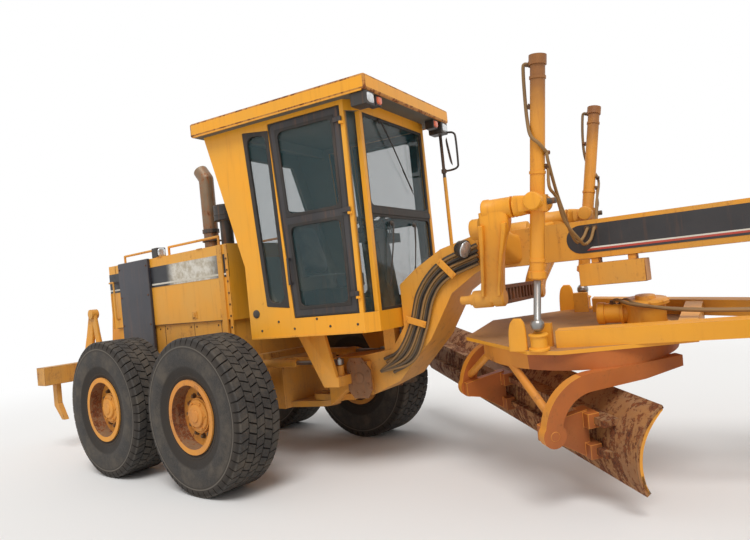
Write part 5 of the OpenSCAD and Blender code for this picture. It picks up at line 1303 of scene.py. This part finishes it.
def blade_place(angle, radius):
    """Places along and up on the blade's curve, at an angle from its middle line."""
    c, s = math.cos(LEAN), math.sin(LEAN)
    return (CURVE_X + radius * (np.sin(angle) * s - np.cos(angle) * c),
            CURVE_Z + radius * (np.cos(angle) * s + np.sin(angle) * c))


def blade_skin(angles, inner, outer, start, end):
    """Strip that follows the blade's curve between an inner radius, which may differ from angle to
    angle, and an outer one, carried from start to end along the blade, closed all round."""
    n, count = 2 * len(angles), max(2, int(abs(end - start) / 0.4) + 1)
    x, z = blade_place(np.r_[angles, angles[::-1]], np.r_[inner + 0 * angles, outer + 0 * angles])
    y = np.linspace(start, end, count)[:, None]
    faces = [list(f) for f in grid_faces(count, n, close_columns=True)]
    for row, way in ((0, 1), (count - 1, -1)):
        faces += [[row * n + i, row * n + i + 1, row * n + n - 2 - i, row * n + n - 1 - i][::way]
                  for i in range(len(angles) - 1)]
    return np.stack(np.broadcast_arrays(x, y, z), -1).reshape(-1, 3), faces


def blade_front(middle, normal):
    """Faces of the blade's hollow front."""
    return normal @ circle_way([1, 0, 0]) > 0.3


dress("moldboard", blade_back, edge_steel, 0.004, (blade_steel, blade_front))
low_band = blade_skin(np.linspace(-HALF + 0.01, -HALF + 0.36, 9), CURVE_R - EDGE_OUT, CURVE_R + 0.002,
                      BLADE_RIGHT, BLADE_LEFT)
piece("cutting_edge", low_band, edge_steel, "moldboard", smooth=40, rounded=0.002,
      at=on_circle)
sweep = np.linspace(-HALF + 0.01, HALF - 0.04, 25)
bit_front = CURVE_R - 0.001 - 0.018 * (1 - (sweep / HALF) ** 4)
for side, start, end in (("right", BLADE_RIGHT, BLADE_RIGHT + BIT_WIDE),
                         ("left", BLADE_LEFT, BLADE_LEFT - BIT_WIDE)):
    strip = blade_skin(sweep, bit_front, CURVE_R + 0.004, start, end)
    piece("end_bit_" + side, strip, end_yellow, "moldboard", smooth=40, rounded=0.003,
          at=on_circle)
bolt_y = np.linspace(BLADE_RIGHT + 0.14, BLADE_LEFT - 0.14, 27)
heads = []
for angle in (-HALF + 0.10, -HALF + 0.26):
    x, z = blade_place(angle, CURVE_R - EDGE_OUT)
    heads.append(np.c_[0 * bolt_y + x, bolt_y, 0 * bolt_y + z])
edge_way = circle_way([math.cos(0.6), 0, math.sin(0.35)])
piece("edge_bolts", studs(on_circle(np.concatenate(heads)), edge_way, 0.014, 0.008), edge_steel,
      "moldboard")

# ---- Neck hoses ---------------------------------------------------------------------------
# Braided rubber hydraulic hoses lie along the gooseneck's right side under two clamp bars,
# black, brown and dusty, each held fast over its whole length.
NECK = -0.2653
thick = [[(0.470 + k * 0.022, NECK, 1.080 - k * 0.032), (0.640 + k * 0.032, NECK, 1.160 - k * 0.024),
          (0.790 + k * 0.035, NECK, 1.400 - k * 0.016), (0.900 + k * 0.034, NECK, 1.690 - k * 0.018),
          (1.130 + k * 0.014, NECK, 1.920 - k * 0.036), (1.500, NECK, 2.040 - k * 0.039)]
         for k in range(5)]
thin = [np.array(line) + (0.016, -0.021, -0.012) for line in thick]
for k, line in enumerate(thin):
    line[0] += (-0.06 - 0.02 * k, 0.0, -0.10 + 0.03 * k)
for label, lines, radius, sides, finish, stands_for in (
        ("dark", thick[::2], 0.015, 12, hose_rubber, ("hoses",)),
        ("dusty", thick[1::2], 0.015, 12, hose_brown, ()),
        ("thin", thin[::2], 0.011, 10, hose_brown, ()),
        ("black", thin[1::2], 0.012, 10, hose_rubber, ())):
    piece("neck_hoses_" + label, [tube(curve(line), radius, sides, (0, 1, 0)) for line in lines],
          finish, "front", stands_for=stands_for)
clamps = []
for x, z, tilt in ((0.855, 1.410, 1.25), (1.210, 1.860, 0.72)):
    along = np.array([-math.sin(tilt), 0, math.cos(tilt)]) * 0.105
    across = np.array([math.cos(tilt), 0, math.sin(tilt)]) * 0.030
    middle = np.array([x, NECK - 0.036, z])
    clamps.append(loft([[*(middle + way * along), *across, 0, 0.007, 0] for way in (-1, 1)], 6.0))
    clamps.append(studs([middle - along * 0.86, middle + along * 0.86], (0, -1, 0), 0.010, 0.016))
piece("neck_clamps", clamps, frame_paint, "front")
